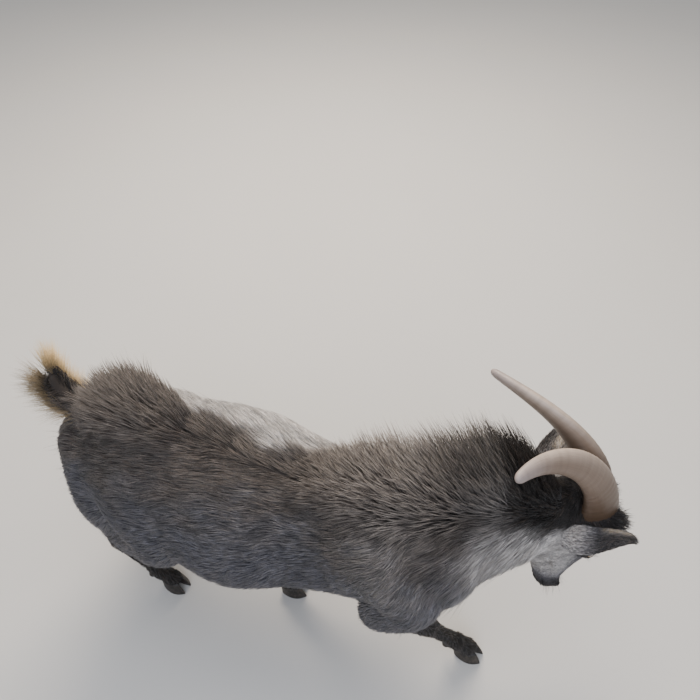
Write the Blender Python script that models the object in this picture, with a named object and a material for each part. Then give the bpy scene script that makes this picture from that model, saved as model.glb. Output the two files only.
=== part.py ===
"""Dwarf billy goat, life size, walking with its head lowered and its crest raised.

The flesh is modelled whole over a few named bones and parted with thin cuts, so that each part
of the body is one solid. Horns, ears, eyes and hooves are solids of their own, seated in it.
Metres, +Z up. The trunk lies along +X, and +Y is the animal's left.
"""
import math
import random

import bmesh
import bpy
import numpy as np
from mathutils import Euler, Matrix, Vector
from mathutils.bvhtree import BVHTree

# Driving sizes of the animal
WITHERS_HEIGHT = 0.440
CROUP_HEIGHT = 0.452
BACK_HEIGHT = 0.418
TRUNK_LENGTH = 0.525
BARREL_HALF_WIDTH = 0.147
BELLY_HEIGHT = 0.158
BRISKET_HEIGHT = 0.200
GAP = 0.0003

# Coat: how far the locks stand off the flesh, the draw of their sizes, and the faces under them
COAT_DEPTH = 0.007
SEED = 10
FLESH_FACES = 3080
HEAD_FACES = 2760

# Head: where the horns' base stands, how the head is turned, and its main sizes
POLL = Vector((0.291, 0.141, 0.378))
HEAD_ROLL, HEAD_TUCK, HEAD_YAW = math.radians(-9.9), math.radians(-2.3), math.radians(19.0)
EYE_RADIUS = 0.0122
EYE_PLACE = Vector((-0.016, 0.0315, -0.066))
HORN_LENGTH = 0.271
HORN_HALF_SPREAD = 0.025
EAR_LENGTH = 0.106
EAR_AXIS = {"right": Vector((0.87, -0.31, 0.21)), "left": Vector((0.38, 0.84, 0.38))}

# Legs: hoof places on the floor, then joints above them
HOOF_LENGTH, HOOF_WIDTH, HOOF_HEIGHT = 0.050, 0.040, 0.027
TOE_OUT = math.radians(6)

COAT = (0x3B, 0x38, 0x36)
POINTS = (0x14, 0x12, 0x11)
HORN = (0x8C, 0x7B, 0x6D)
HOOF = (0x1C, 0x19, 0x17)
EYE = (0x6E, 0x52, 0x24)

HEAD_FRAME = Matrix.Translation(POLL) @ Euler(
    (HEAD_ROLL, HEAD_TUCK, HEAD_YAW), "ZYX").to_matrix().to_4x4()
SIDES = {"right": -1, "left": 1}


def linear(channel):
    """A channel of 0 to 255 in sRGB as a linear value."""
    value = channel / 255
    return value / 12.92 if value <= 0.04045 else ((value + 0.055) / 1.055) ** 2.4


def finish(name, colour, roughness, coat=0.0):
    """A Principled material of one colour."""
    material = bpy.data.materials.get(name) or bpy.data.materials.new(name)
    material.use_nodes = True
    shader = material.node_tree.nodes["Principled BSDF"]
    shader.inputs["Base Color"].default_value = (*[linear(c) for c in colour], 1)
    shader.inputs["Roughness"].default_value = roughness
    shader.inputs["Coat Weight"].default_value = coat
    return material


def clear_scene():
    """Remove the objects that the file starts with."""
    for obj in list(bpy.data.objects):
        bpy.data.objects.remove(obj)


def smooth_rows(rows, steps):
    """Rows run through by a Catmull-Rom curve, with steps rows to each span."""
    rows = np.array(rows, float)
    ends = np.vstack([2 * rows[0] - rows[1], rows, 2 * rows[-1] - rows[-2]])
    out = []
    for a, b, c, d in zip(ends, ends[1:], ends[2:], ends[3:]):
        for t in np.arange(steps) / steps:
            cubic = (3 * b - a - 3 * c + d) * t ** 3
            out.append((2 * b + (c - a) * t + (2 * a - 5 * b + 4 * c - d) * t * t + cubic) / 2)
    return np.array(out + [rows[-1]])


def tube(rows, hint=(0, 1, 0), sides=20, steps=4, end=0.7):
    """Closed tube through rows of x, y, z, half width, half depth above and, if given, below.

    The width lies along hint as far as the tube's run lets it, and both ends are rounded.
    """
    rows = [tuple(row) if len(row) == 6 else (*row, row[4]) for row in rows]
    rows = smooth_rows(rows, steps)
    centres = rows[:, :3]
    runs = np.gradient(centres, axis=0)
    mesh = bmesh.new()

    def ring(centre, run, half, above, below):
        run = Vector(run).normalized()
        side = (Vector(hint) - run * run.dot(Vector(hint))).normalized()
        up = run.cross(side)
        out = []
        for k in range(sides):
            turn = 2 * math.pi * k / sides
            lift = math.sin(turn)
            depth = above if lift > 0 else below
            out.append(mesh.verts.new(Vector(centre) + side * half * math.cos(turn) + up * depth * lift))
        return out

    rings = []
    for at, sign in ((0, -1), (-1, 1)):
        run = Vector(runs[at]).normalized()
        reach = end * min(rows[at, 3:])
        caps = []
        for lean in (60, 30) if at == 0 else (30, 60):
            shrink, push = math.cos(math.radians(lean)), math.sin(math.radians(lean))
            caps.append((Vector(centres[at]) + run * sign * reach * push, run, *(rows[at, 3:] * shrink)))
        tip = Vector(centres[at]) + run * sign * reach
        if at == 0:
            first_tip, first_caps = tip, caps
        else:
            last_tip, last_caps = tip, caps
    for cap in first_caps:
        rings.append(ring(*cap))
    for row, run in zip(rows, runs):
        rings.append(ring(row[:3], run, *row[3:]))
    for cap in last_caps:
        rings.append(ring(*cap))
    for low, high in zip(rings, rings[1:]):
        for k in range(sides):
            mesh.faces.new((low[k - 1], low[k], high[k], high[k - 1]))
    for tip, edge in ((first_tip, rings[0]), (last_tip, rings[-1])):
        pole = mesh.verts.new(tip)
        for k in range(sides):
            mesh.faces.new((edge[k - 1], edge[k], pole))
    bmesh.ops.recalc_face_normals(mesh, faces=mesh.faces)
    return mesh


def ball(centre, radii, turn=(0, 0, 0), detail=3):
    """Ellipsoid with its radii along axes turned by degrees about X, Y and Z."""
    mesh = bmesh.new()
    bmesh.ops.create_icosphere(mesh, subdivisions=detail, radius=1)
    spin = Euler([math.radians(a) for a in turn]).to_matrix().to_4x4()
    mesh.transform(Matrix.Translation(centre) @ spin @ Matrix.Diagonal((*radii, 1)))
    return mesh


def add(name, mesh, frame=Matrix(), material=None):
    """An object made of a bmesh, moved by a frame."""
    mesh.transform(frame)
    data = bpy.data.meshes.new(name)
    mesh.to_mesh(data)
    mesh.free()
    obj = bpy.data.objects.new(name, data)
    bpy.context.collection.objects.link(obj)
    if material:
        data.materials.append(material)
    return obj


def bake(obj):
    """Put an object's modifiers into its mesh."""
    graph = bpy.context.evaluated_depsgraph_get()
    data = bpy.data.meshes.new_from_object(obj.evaluated_get(graph))
    obj.modifiers.clear()
    obj.data = data
    return obj


def drop(*objects):
    """Remove helper objects."""
    for obj in objects:
        bpy.data.objects.remove(obj)


def boolean(obj, tool, operation="DIFFERENCE"):
    """Apply one Boolean, and remove the tool.

    EXACT loses legs and leaves torn edges on flesh with its locks, so the solver is MANIFOLD.
    """
    cut = obj.modifiers.new("cut", "BOOLEAN")
    cut.operation = operation
    cut.solver = "MANIFOLD"
    cut.object = tool
    bake(obj)
    drop(tool)
    return obj


def triangulate(obj):
    """Turn a mesh into triangles, in the first way that gives every edge two faces."""
    for way in ("BEAUTY", "EAR_CLIP"):
        mesh = bmesh.new()
        mesh.from_mesh(obj.data)
        bmesh.ops.remove_doubles(mesh, verts=mesh.verts, dist=0.000001)
        bmesh.ops.triangulate(mesh, faces=mesh.faces, ngon_method=way)
        closed = all(edge.is_manifold for edge in mesh.edges)
        if closed or way == "EAR_CLIP":
            mesh.to_mesh(obj.data)
        mesh.free()
        if closed:
            return


def islands(obj):
    """Split an object into its closed surfaces, as bmeshes, largest first.

    Faces belong together where they share an edge, so pieces that touch at a point are parted.
    """
    mesh = bmesh.new()
    mesh.from_mesh(obj.data)
    seen = set()
    groups = []
    for start in mesh.faces:
        if start.index in seen:
            continue
        stack, group = [start], set()
        seen.add(start.index)
        while stack:
            face = stack.pop()
            group.add(face.index)
            for edge in face.edges:
                for other in edge.link_faces:
                    if other.index not in seen:
                        seen.add(other.index)
                        stack.append(other)
        groups.append(group)
    groups.sort(key=len, reverse=True)
    out = []
    for group in groups:
        part = mesh.copy()
        spare = [face for face in part.faces if face.index not in group]
        bmesh.ops.delete(part, geom=spare, context="FACES")
        out.append(part)
    mesh.free()
    return out


def keep_largest(obj):
    """Keep the largest closed surface of an object."""
    parts = islands(obj)
    parts[0].to_mesh(obj.data)
    for part in parts:
        part.free()
    return obj


def fuse(name, meshes, voxel, smoothing, faces):
    """Join overlapping closed meshes into one skin of about that many triangles."""
    whole = bmesh.new()
    for mesh in meshes:
        data = bpy.data.meshes.new("piece")
        mesh.to_mesh(data)
        whole.from_mesh(data)
        bpy.data.meshes.remove(data)
        mesh.free()
    obj = add(name, whole)
    remesh = obj.modifiers.new("remesh", "REMESH")
    remesh.mode = "VOXEL"
    remesh.voxel_size = voxel
    soften = obj.modifiers.new("soften", "SMOOTH")
    soften.factor = 0.5
    soften.iterations = smoothing
    bake(obj)
    thin = obj.modifiers.new("thin", "DECIMATE")
    thin.ratio = min(1.0, faces / (2 * len(obj.data.polygons)))
    bake(obj)
    keep_largest(obj)
    return obj


def clear_of(obj, other, gap=GAP):
    """Cut an object back so that it keeps a gap to another."""
    mesh = bmesh.new()
    mesh.from_mesh(other.data)
    mesh.normal_update()
    moves = [(vert, vert.normal * gap) for vert in mesh.verts]
    for vert, move in moves:
        vert.co += move
    return boolean(obj, add("clearance", mesh))


def slab(centre, normal, width, height, thickness=GAP, roll=(0, 1, 0)):
    """Thin box across a limb, to part it: width along roll, height across that."""
    normal = Vector(normal).normalized()
    side = (Vector(roll) - normal * normal.dot(Vector(roll))).normalized()
    frame = Matrix((side, normal.cross(side), normal)).transposed().to_4x4()
    frame.translation = Vector(centre)
    mesh = bmesh.new()
    bmesh.ops.create_cube(mesh, size=1)
    mesh.transform(Matrix.Diagonal((width, height, thickness, 1)))
    return add("slab", mesh, frame)


# Flesh


def trunk():
    """Trunk from the rump to the brisket, as seen in its side and its plan."""
    tail = -TRUNK_LENGTH
    rows = [
        # x, sway to the left, height of the back, height of the belly, half width
        (tail - 0.004, 0.000, 0.408, 0.300, 0.050),
        (tail + 0.030, 0.000, 0.428, 0.250, 0.080),
        (-0.440, 0.000, 0.446, 0.215, 0.103),
        (-0.375, 0.000, CROUP_HEIGHT, 0.190, 0.118),
        (-0.300, 0.009, 0.438, 0.168, 0.138),
        (-0.220, 0.013, 0.423, BELLY_HEIGHT, BARREL_HALF_WIDTH),
        (-0.135, 0.018, BACK_HEIGHT, 0.167, 0.121),
        (-0.055, 0.012, 0.428, 0.186, 0.103),
        (0.010, 0.004, WITHERS_HEIGHT, BRISKET_HEIGHT, 0.092),
        (0.060, 0.004, 0.432, 0.210, 0.084),
        (0.100, 0.008, 0.405, 0.222, 0.070),
    ]
    out = []
    for x, sway, back, belly, half in rows:
        widest = belly + 0.46 * (back - belly)
        out.append((x, sway, widest, half - COAT_DEPTH, back - widest, widest - belly - COAT_DEPTH))
    return tube(out, sides=28, steps=3)


def neck():
    """Neck from inside the trunk to the back of the head, swung to the left."""
    return tube([
        (-0.040, 0.000, 0.332, 0.090, 0.104),
        (0.040, 0.012, 0.336, 0.084, 0.106),
        (0.100, 0.042, 0.345, 0.071, 0.097),
        (0.155, 0.076, 0.352, 0.062, 0.087),
        (0.205, 0.106, 0.354, 0.054, 0.075),
        (0.245, 0.124, 0.352, 0.043, 0.056),
    ])


FORE = {
    # elbow, knee, fetlock and hoof of each foreleg
    "right": ((0.020, -0.068, 0.224), (0.092, -0.032, 0.142), (0.146, -0.006, 0.054), (0.170, 0.002, 0)),
    "left": ((-0.002, 0.078, 0.224), (-0.066, 0.046, 0.142), (-0.150, 0.008, 0.054), (-0.168, 0.000, 0)),
}
HIND = {
    # stifle, hock, fetlock and hoof of each hind leg
    "right": ((-0.340, -0.098, 0.245), (-0.455, -0.086, 0.160), (-0.405, -0.076, 0.052), (-0.385, -0.072, 0)),
    "left": ((-0.345, 0.098, 0.245), (-0.482, 0.086, 0.165), (-0.452, 0.076, 0.052), (-0.432, 0.072, 0)),
}


def along(a, b, share):
    """Point at a share of the way between two."""
    return Vector(a).lerp(Vector(b), share)


def coronet(fetlock, hoof):
    """Where the leg enters the hoof."""
    top = Vector(hoof)
    top.z = HOOF_HEIGHT
    return along(top, fetlock, 0.12)


def foreleg(side):
    """Shoulder, forearm, knee, cannon and pastern of one foreleg."""
    out = SIDES[side]
    elbow, knee, fetlock, hoof = (Vector(p) for p in FORE[side])
    shoulder = Vector((0.062, out * 0.062, 0.290))
    blade = Vector((0.000, out * 0.062, 0.385))
    foot = coronet(fetlock, hoof)
    arm = [(*blade, 0.022, 0.040), (*along(blade, shoulder, 0.6), 0.034, 0.050),
           (*shoulder, 0.034, 0.044), (*along(shoulder, elbow, 0.55), 0.032, 0.042),
           (*along(shoulder, elbow, 0.9), 0.028, 0.036)]
    lower = [(*along(shoulder, elbow, 0.65), 0.028, 0.038), (*elbow, 0.026, 0.034),
             (*along(elbow, knee, 0.35), 0.021, 0.026), (*along(elbow, knee, 0.75), 0.0155, 0.018),
             (*knee, 0.0170, 0.0185), (*along(knee, fetlock, 0.22), 0.0130, 0.0145),
             (*along(knee, fetlock, 0.7), 0.0115, 0.0130), (*fetlock, 0.0150, 0.0165),
             (*along(fetlock, foot, 0.5), 0.0130, 0.0140), (*foot, 0.0155, 0.0165),
             (hoof.x, hoof.y, HOOF_HEIGHT * 0.5, 0.013, 0.013)]
    return [tube(arm), tube(lower, sides=14)]


def hind_leg(side):
    """Thigh, gaskin, hock, cannon and pastern of one hind leg."""
    out = SIDES[side]
    stifle, hock, fetlock, hoof = (Vector(p) for p in HIND[side])
    hip = Vector((-0.395, out * 0.058, 0.375))
    pin = Vector((-0.495, out * 0.040, 0.385))
    foot = coronet(fetlock, hoof)
    thigh = [(*hip, 0.045, 0.072), (*along(hip, stifle, 0.4), 0.047, 0.078),
             (*along(hip, stifle, 0.8), 0.037, 0.064), (*stifle, 0.029, 0.046)]
    ham = [(*pin, 0.026, 0.034), (*along(pin, hock, 0.35), 0.036, 0.044),
           (*along(pin, hock, 0.62), 0.033, 0.046), (*along(pin, hock, 0.86), 0.016, 0.020)]
    shank = [(*along(hip, stifle, 0.8), 0.032, 0.054), (*along(stifle, hock, 0.15), 0.030, 0.046),
             (*along(stifle, hock, 0.55), 0.021, 0.029), (*along(stifle, hock, 0.86), 0.0150, 0.0205),
             (*hock, 0.0155, 0.0205), (*along(hock, fetlock, 0.2), 0.0130, 0.0165),
             (*along(hock, fetlock, 0.7), 0.0115, 0.0135), (*fetlock, 0.0150, 0.0165),
             (*along(fetlock, foot, 0.5), 0.0130, 0.0140), (*foot, 0.0155, 0.0165),
             (hoof.x, hoof.y, HOOF_HEIGHT * 0.5, 0.013, 0.013)]
    heel = hock + Vector((-0.012, 0, 0.012))
    tendon = [(*along(heel, pin, 0.20), 0.009, 0.012), (*heel, 0.0095, 0.0125),
              (*along(hock, fetlock, 0.25), 0.009, 0.012)]
    return [tube(thigh), tube(ham), tube(shank, sides=16), tube(tendon, sides=12)]


TAIL = [(-0.490, 0, 0.416, 0.022, 0.018), (-0.522, 0, 0.428, 0.020, 0.016),
        (-0.538, 0, 0.450, 0.017, 0.012), (-0.545, 0.002, 0.474, 0.011, 0.008)]

HEAD_ROWS = [
    # height along the nose, front of the face, back of the jaw, half width
    (0.020, -0.030, -0.082, 0.030),
    (0.004, -0.003, -0.098, 0.040),
    (-0.022, 0.012, -0.106, 0.0450),
    (-0.052, 0.018, -0.110, 0.0450),
    (-0.082, 0.011, -0.104, 0.0375),
    (-0.114, -0.004, -0.093, 0.0290),
    (-0.146, -0.018, -0.081, 0.0238),
    (-0.170, -0.027, -0.073, 0.0215),
    (-0.182, -0.032, -0.068, 0.0195),
]


def head_meshes():
    """Skull, cheeks, brows, muzzle and chin, in the head's own frame."""
    rows = []
    for z, front, back, half in HEAD_ROWS:
        rows.append(((front + back) / 2, 0, z, half, (front - back) / 2))
    meshes = [tube(rows, sides=28)]
    meshes.append(ball((-0.046, 0, -0.1760), (0.0200, 0.0220, 0.0195)))
    meshes.append(ball((-0.060, 0, -0.1720), (0.0115, 0.0135, 0.0155)))
    for out in SIDES.values():
        meshes.append(ball((-0.074, out * 0.021, -0.068), (0.031, 0.0180, 0.044), (0, 16, 0)))
        meshes.append(ball((-0.006, out * 0.027, -0.050), (0.019, 0.0150, 0.020)))
        meshes.append(ball((-0.019, out * 0.025, -0.005), (0.035, 0.0235, 0.018)))
        meshes.append(ball((-0.037, out * 0.0100, -0.1810), (0.0095, 0.0085, 0.0105)))
        place = Vector((EYE_PLACE.x, out * EYE_PLACE.y, EYE_PLACE.z))
        meshes.append(ball(place, [EYE_RADIUS * 1.22] * 3))
        meshes.append(ball((-0.066, out * 0.034, -0.010), (0.020, 0.014, 0.020)))
    return meshes


def eye_axes(out):
    """Eye's slit, height and outward axes, as the columns of a frame at its centre."""
    outward = Vector((0.35, out * 0.93, 0.08)).normalized()
    slit = Vector((0.5, 0, -0.866))
    slit = (slit - outward * outward.dot(slit)).normalized()
    frame = Matrix((slit, outward.cross(slit), outward)).transposed().to_4x4()
    frame.translation = Vector((EYE_PLACE.x, out * EYE_PLACE.y, EYE_PLACE.z))
    return frame


def face_cutters(out, tree):
    """Lid opening, nostril and half of the mouth line on one side, as tools in the head's frame."""
    lids = ball((0, 0, 0.0115), (0.0100, 0.0052, 0.0095), detail=2)
    lids.transform(eye_axes(out))
    nostril = ball((-0.0335, out * 0.0125, -0.1870), (0.0060, 0.0034, 0.0032), (0, 35, out * 30), 2)
    line = []
    for x, y, z in ((-0.0520, 0.000, -0.196), (-0.0535, 0.010, -0.192), (-0.0565, 0.017, -0.181),
                    (-0.0605, 0.0205, -0.166), (-0.0655, 0.022, -0.149), (-0.0700, 0.0245, -0.135)):
        near = tree.find_nearest(Vector((x, out * y, z)))[0]
        line.append((*near, 0.0014, 0.0014))
    line[0] = (line[0][0], -out * 0.002, *line[0][2:])
    return [lids, nostril, tube(line, hint=(1, 0, 0), sides=6, steps=2)]


def in_frame(meshes, frame=HEAD_FRAME):
    """Move bmeshes by a frame."""
    for mesh in meshes:
        mesh.transform(frame)
    return meshes


# Coat

CREST = [
    # place on the spine, then where the hair points and how long it is
    ((-0.478, 0.000, 0.430), (-0.34, 0.00, 0.94), 0.050),
    ((-0.430, 0.000, 0.444), (-0.30, 0.05, 0.95), 0.082),
    ((-0.375, 0.000, 0.450), (-0.22, 0.10, 0.97), 0.092),
    ((-0.290, 0.004, 0.434), (-0.55, 0.05, 0.83), 0.040),
    ((-0.180, 0.010, 0.417), (-0.62, 0.05, 0.78), 0.034),
    ((-0.080, 0.012, 0.423), (-0.36, 0.08, 0.93), 0.056),
    ((0.000, 0.010, 0.436), (-0.20, 0.06, 0.97), 0.102),
    ((0.070, 0.030, 0.440), (-0.22, 0.04, 0.97), 0.114),
    ((0.130, 0.064, 0.440), (-0.22, 0.14, 0.96), 0.116),
    ((0.185, 0.096, 0.428), (-0.28, 0.18, 0.94), 0.100),
    ((0.214, 0.110, 0.412), (-0.40, 0.15, 0.90), 0.056),
]
CORE_SHARE = 0.27
ROOT = 0.0085
ROLL = 0.10


def crest_core():
    """Dense lower part of the raised hair, up to about a third of its height."""
    out = []
    for base, lean, height in CREST:
        tall = height * CORE_SHARE
        middle = Vector(base) + Vector(lean) * (tall * 0.5 - 0.010)
        out.append((*middle, 0.010, tall * 0.5 + 0.012))
    return tube(out, sides=16)


def lock(path, faces, widths, thick, both=False):
    """Flat tapered lock along a path, with its face turned the way that faces point.

    A lock that shows on both sides has a ridge on each, and one that lies on the body has a
    flat underside.
    """
    mesh = bmesh.new()
    rings = []
    for k, (point, face, width) in enumerate(zip(path[:-1], faces, widths)):
        run = (path[k + 1] - path[max(k - 1, 0)]).normalized()
        side = run.cross(face).normalized()
        top = side.cross(run)
        share = 1 - 0.5 * k / (len(path) - 1)
        ring = [point - side * width / 2, point + top * thick * share, point + side * width / 2]
        if both:
            ring.append(point - top * thick * share)
        rings.append([mesh.verts.new(corner) for corner in ring])
    tip = mesh.verts.new(path[-1])
    sides = len(rings[0])
    for low, high in zip(rings, rings[1:]):
        for j in range(sides):
            mesh.faces.new((low[j - 1], low[j], high[j], high[j - 1]))
    for j in range(sides):
        mesh.faces.new((rings[-1][j - 1], rings[-1][j], tip))
    mesh.faces.new(rings[0])
    bmesh.ops.triangulate(mesh, faces=mesh.faces)
    bmesh.ops.recalc_face_normals(mesh, faces=mesh.faces)
    return mesh


def crest_locks(draw):
    """Two staggered rows of upright locks along the spine, from the croup to the nape."""
    rows = smooth_rows([(*base, *lean, height) for base, lean, height in CREST], 12)
    reach = np.concatenate([[0], np.cumsum(np.linalg.norm(np.diff(rows[:, :3], axis=0), axis=1))])
    out = []
    spacing = 0.027
    count = int(reach[-1] / spacing)
    for k in range(count + 1):
        at = min(reach[-1], spacing * (k + draw.uniform(-0.15, 0.15)))
        row = np.array([np.interp(at, reach, rows[:, j]) for j in range(7)])
        ahead = np.array([np.interp(at + 0.01, reach, rows[:, j]) for j in range(3)])
        behind = np.array([np.interp(at - 0.01, reach, rows[:, j]) for j in range(3)])
        run = Vector(ahead - behind).normalized()
        lean = Vector(row[3:6]).normalized()
        side = run.cross(lean).normalized()
        hand = 1 if k % 2 else -1
        base = Vector(row[:3]) + side * hand * 0.005
        length = row[6] * draw.uniform(0.90, 1.10)
        bend = side * hand * draw.uniform(0.04, 0.12) - run * draw.uniform(0.08, 0.26)
        path = [base - lean * 0.016]
        for share in (0.30, 0.65, 1.0):
            path.append(base + lean * length * share + bend * length * share ** 2)
        width = 0.049 * draw.uniform(0.92, 1.08) * min(1.0, 0.40 + length / 0.12)
        out.append(lock(path, [side * hand] * 3, [width * 0.9, width, width * 0.66], 0.0045, both=True))
    return out


def lying_lock(tree, root, lie, length, width, lift, hang=0.0):
    """Lock rooted at a point of the body, that follows its surface along the lie of the coat.

    It rises from under the surface to lift at its tip, and hangs free by the share given. It is
    rolled a little, so that its rear edge lies over the next lock's front edge.
    """
    near, face = tree.find_nearest(root)[:2]
    path, faces = [near - face * ROOT], [face]
    for share in (0.34, 0.70, 1.0):
        along_skin = (lie - face * lie.dot(face)).normalized()
        step = length * (share - (0, 0.34, 0.70)[len(path) - 1])
        ahead = near + along_skin.lerp(lie, hang).normalized() * step
        skin, turn = tree.find_nearest(ahead)[:2]
        near = skin.lerp(ahead, hang)
        face = face.lerp(turn, 1 - hang).normalized()
        path.append(near + face * lift * share ** 0.5)
        faces.append(face)
    runs = [(b - a).normalized() for a, b in zip(path, path[1:])]
    rolled = [face + run.cross(face) * ROLL for face, run in zip(faces, runs)]
    return lock(path, rolled, [width * 0.55, width, width * 0.74], 0.0050)


def comb(obj, locks):
    """Fuse locks into the node that they grow from, in one union."""
    group = bpy.data.collections.new("locks")
    bpy.context.scene.collection.children.link(group)
    for mesh in locks:
        piece = add("lock", mesh)
        group.objects.link(piece)
        bpy.context.collection.objects.unlink(piece)
    union = obj.modifiers.new("union", "BOOLEAN")
    union.operation = "UNION"
    union.solver = "MANIFOLD"
    union.operand_type = "COLLECTION"
    union.collection = group
    bake(obj)
    drop(*group.objects)
    bpy.data.collections.remove(group)
    return keep_largest(obj)


def surface(obj):
    """Search tree of an object's faces."""
    return BVHTree.FromPolygons([vert.co for vert in obj.data.vertices],
                                [face.vertices for face in obj.data.polygons])


# Rows of locks on each side of the trunk: angle round the barrel, length, width, lift and hang
BARREL_ROWS = [
    (66, 0.098, 0.061, 0.010, 0.0),
    (34, 0.098, 0.061, 0.010, 0.0),
    (4, 0.096, 0.061, 0.010, 0.0),
    (-24, 0.094, 0.061, 0.010, 0.1),
    (-50, 0.080, 0.056, 0.008, 0.4),
]


def barrel_locks(tree, draw):
    """Rows of locks down both flanks, which lie back and down over one another."""
    out = []
    for side in SIDES.values():
        for row, (angle, length, width, lift, hang) in enumerate(BARREL_ROWS):
            count = 7
            for k in range(count):
                share = (k + 0.5 * (row % 2)) / count
                x = 0.045 - 0.53 * share + draw.uniform(-0.006, 0.006)
                turn = math.radians(angle + draw.uniform(-4, 4))
                way = Vector((0, side * math.cos(turn), math.sin(turn)))
                hit = tree.ray_cast(Vector((x, 0.006, 0.290)) + way * 0.4, -way)[0]
                if hit is None:
                    continue
                fan = 0.62 + 0.25 * math.sin(math.pi * (share - 0.15) / 0.8)
                lie = Vector((-fan, 0, -0.78)).normalized()
                size = draw.uniform(0.9, 1.12)
                out.append(lying_lock(tree, hit, lie, length * size, width * size, lift, hang))
    return out


def rump_locks(tree, draw):
    """Locks that hang down the back of the thighs, on both sides of the tail."""
    out = []
    for side in SIDES.values():
        for y, z in ((0.030, 0.400), (0.072, 0.372), (0.040, 0.336), (0.080, 0.304)):
            hit = tree.ray_cast(Vector((-0.70, side * y, z)), Vector((1, 0, 0)))[0]
            lie = Vector((-0.25, side * 0.15, -0.96)).normalized()
            out.append(lying_lock(tree, hit, lie, 0.078 * draw.uniform(0.9, 1.1), 0.050, 0.009, 0.1))
    return out


def neck_locks(tree, draw):
    """Locks on both sides of the neck, which lie back and down."""
    out = []
    for side in SIDES.values():
        for row, (angle, length) in enumerate(((70, 0.086), (32, 0.086), (-6, 0.080))):
            for k in range(3):
                share = (k + 0.5 * (row % 2)) / 3
                spot = Vector((0.205, 0.106, 0.354)).lerp(Vector((0.075, 0.030, 0.342)), share)
                turn = math.radians(angle + draw.uniform(-5, 5))
                across = Vector((-0.46, 0.89, 0)) * side
                way = across * math.cos(turn) + Vector((0, 0, math.sin(turn)))
                hit = tree.ray_cast(spot + way * 0.3, -way)[0]
                if hit is None:
                    continue
                lie = Vector((-0.62, -0.30, -0.72)).normalized()
                out.append(lying_lock(tree, hit, lie, length * draw.uniform(0.9, 1.1), 0.044, 0.009, 0.15))
    return out


HEAD_LOCKS = [
    # root in the head's frame, on the left, then the way it lies, length, width and hang
    ((-0.004, 0.000, 0.014), (0.35, 0.00, -0.93), 0.060, 0.026, 0.15),
    ((-0.004, 0.013, 0.004), (0.25, 0.25, -0.95), 0.050, 0.022, 0.1),
    ((-0.078, 0.040, -0.040), (-0.75, 0.20, -0.62), 0.046, 0.026, 0.3),
    ((-0.088, 0.036, -0.074), (-0.70, 0.15, -0.70), 0.044, 0.026, 0.3),
]


def head_locks(tree, draw):
    """Forelock over the brow, and ruffs behind the cheeks."""
    turn = HEAD_FRAME.to_3x3()
    out = []
    for root, lie, length, width, hang in HEAD_LOCKS:
        for side in SIDES.values() if root[1] else (1,):
            place = HEAD_FRAME @ Vector((root[0], side * root[1], root[2]))
            way = turn @ Vector((lie[0], side * lie[1], lie[2])).normalized()
            long = length * draw.uniform(0.92, 1.08)
            out.append(lying_lock(tree, place, way, long, width, 0.005, hang))
    return out


def tail_locks(draw):
    """Fringe of the raised tail, which fans out from its bone."""
    out = []
    rows = smooth_rows(TAIL, 3)
    for k, share in enumerate((0.30, 0.42, 0.54, 0.66, 0.78, 0.90, 1.0)):
        row = rows[min(len(rows) - 1, int(share * (len(rows) - 1)))]
        spread = (-1, 1, -1, 1, -1, 1, 0)[k] * 0.42
        base = Vector(row[:3])
        way = Vector((-0.55 + 0.3 * share, spread, 0.35 + 0.5 * share)).normalized()
        length = 0.040 * draw.uniform(0.9, 1.1)
        path = [base - way * 0.004]
        for part in (0.35, 0.7, 1.0):
            path.append(base + way * length * part + Vector((-0.006, 0, 0.004)) * part ** 2)
        face = way.cross(Vector((0, 0, 1)).cross(way)).normalized()
        out.append(lock(path, [face] * 3, [0.020, 0.024, 0.015], 0.0040, both=True))
    return out


def build_flesh():
    """The whole of the flesh without the head's fine forms, with its coat."""
    meshes = [trunk(), neck(), tube(TAIL, sides=12), crest_core()]
    for side in SIDES:
        meshes += foreleg(side) + hind_leg(side)
    meshes += in_frame(head_meshes()[:1])
    flesh = fuse("flesh", meshes, 0.0065, 5, FLESH_FACES)
    draw = random.Random(SEED)
    tree = surface(flesh)
    locks = crest_locks(draw) + barrel_locks(tree, draw) + rump_locks(tree, draw)
    return comb(flesh, locks + neck_locks(tree, draw) + tail_locks(draw))


def hoof_mesh(gap=0.0):
    """Outer shape of a hoof, both claws as one, pointing along +X over the floor."""
    levels = [(0.0, 1.0, 0.0), (0.35, 0.95, -0.0015), (0.7, 0.88, -0.0035), (1.0, 0.80, -0.006)]
    mesh = bmesh.new()
    rings = []
    for level, grow, back in levels:
        ring = []
        for k in range(16):
            turn = 2 * math.pi * k / 16
            x = math.cos(turn)
            reach = HOOF_LENGTH / 2 * grow + gap
            point = (x * reach * (1.05 if x > 0 else 0.9) + back,
                     math.sin(turn) * (HOOF_WIDTH / 2 * grow + gap) * (1 - 0.12 * x),
                     level * HOOF_HEIGHT - 0.004 * level * (1 - x) / 2 + (gap if level == 1 else 0))
            ring.append(mesh.verts.new(point))
        rings.append(ring)
    for low, high in zip(rings, rings[1:]):
        for k in range(16):
            mesh.faces.new((low[k - 1], low[k], high[k], high[k - 1]))
    mesh.faces.new(rings[0])
    mesh.faces.new(rings[-1])
    bmesh.ops.recalc_face_normals(mesh, faces=mesh.faces)
    return mesh


def hoof_frame(out, hoof):
    """Where a hoof stands, with its toe turned out a little."""
    return Matrix.Translation((hoof[0] + 0.002, hoof[1], 0)) @ Matrix.Rotation(out * TOE_OUT, 4, "Z")


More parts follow.
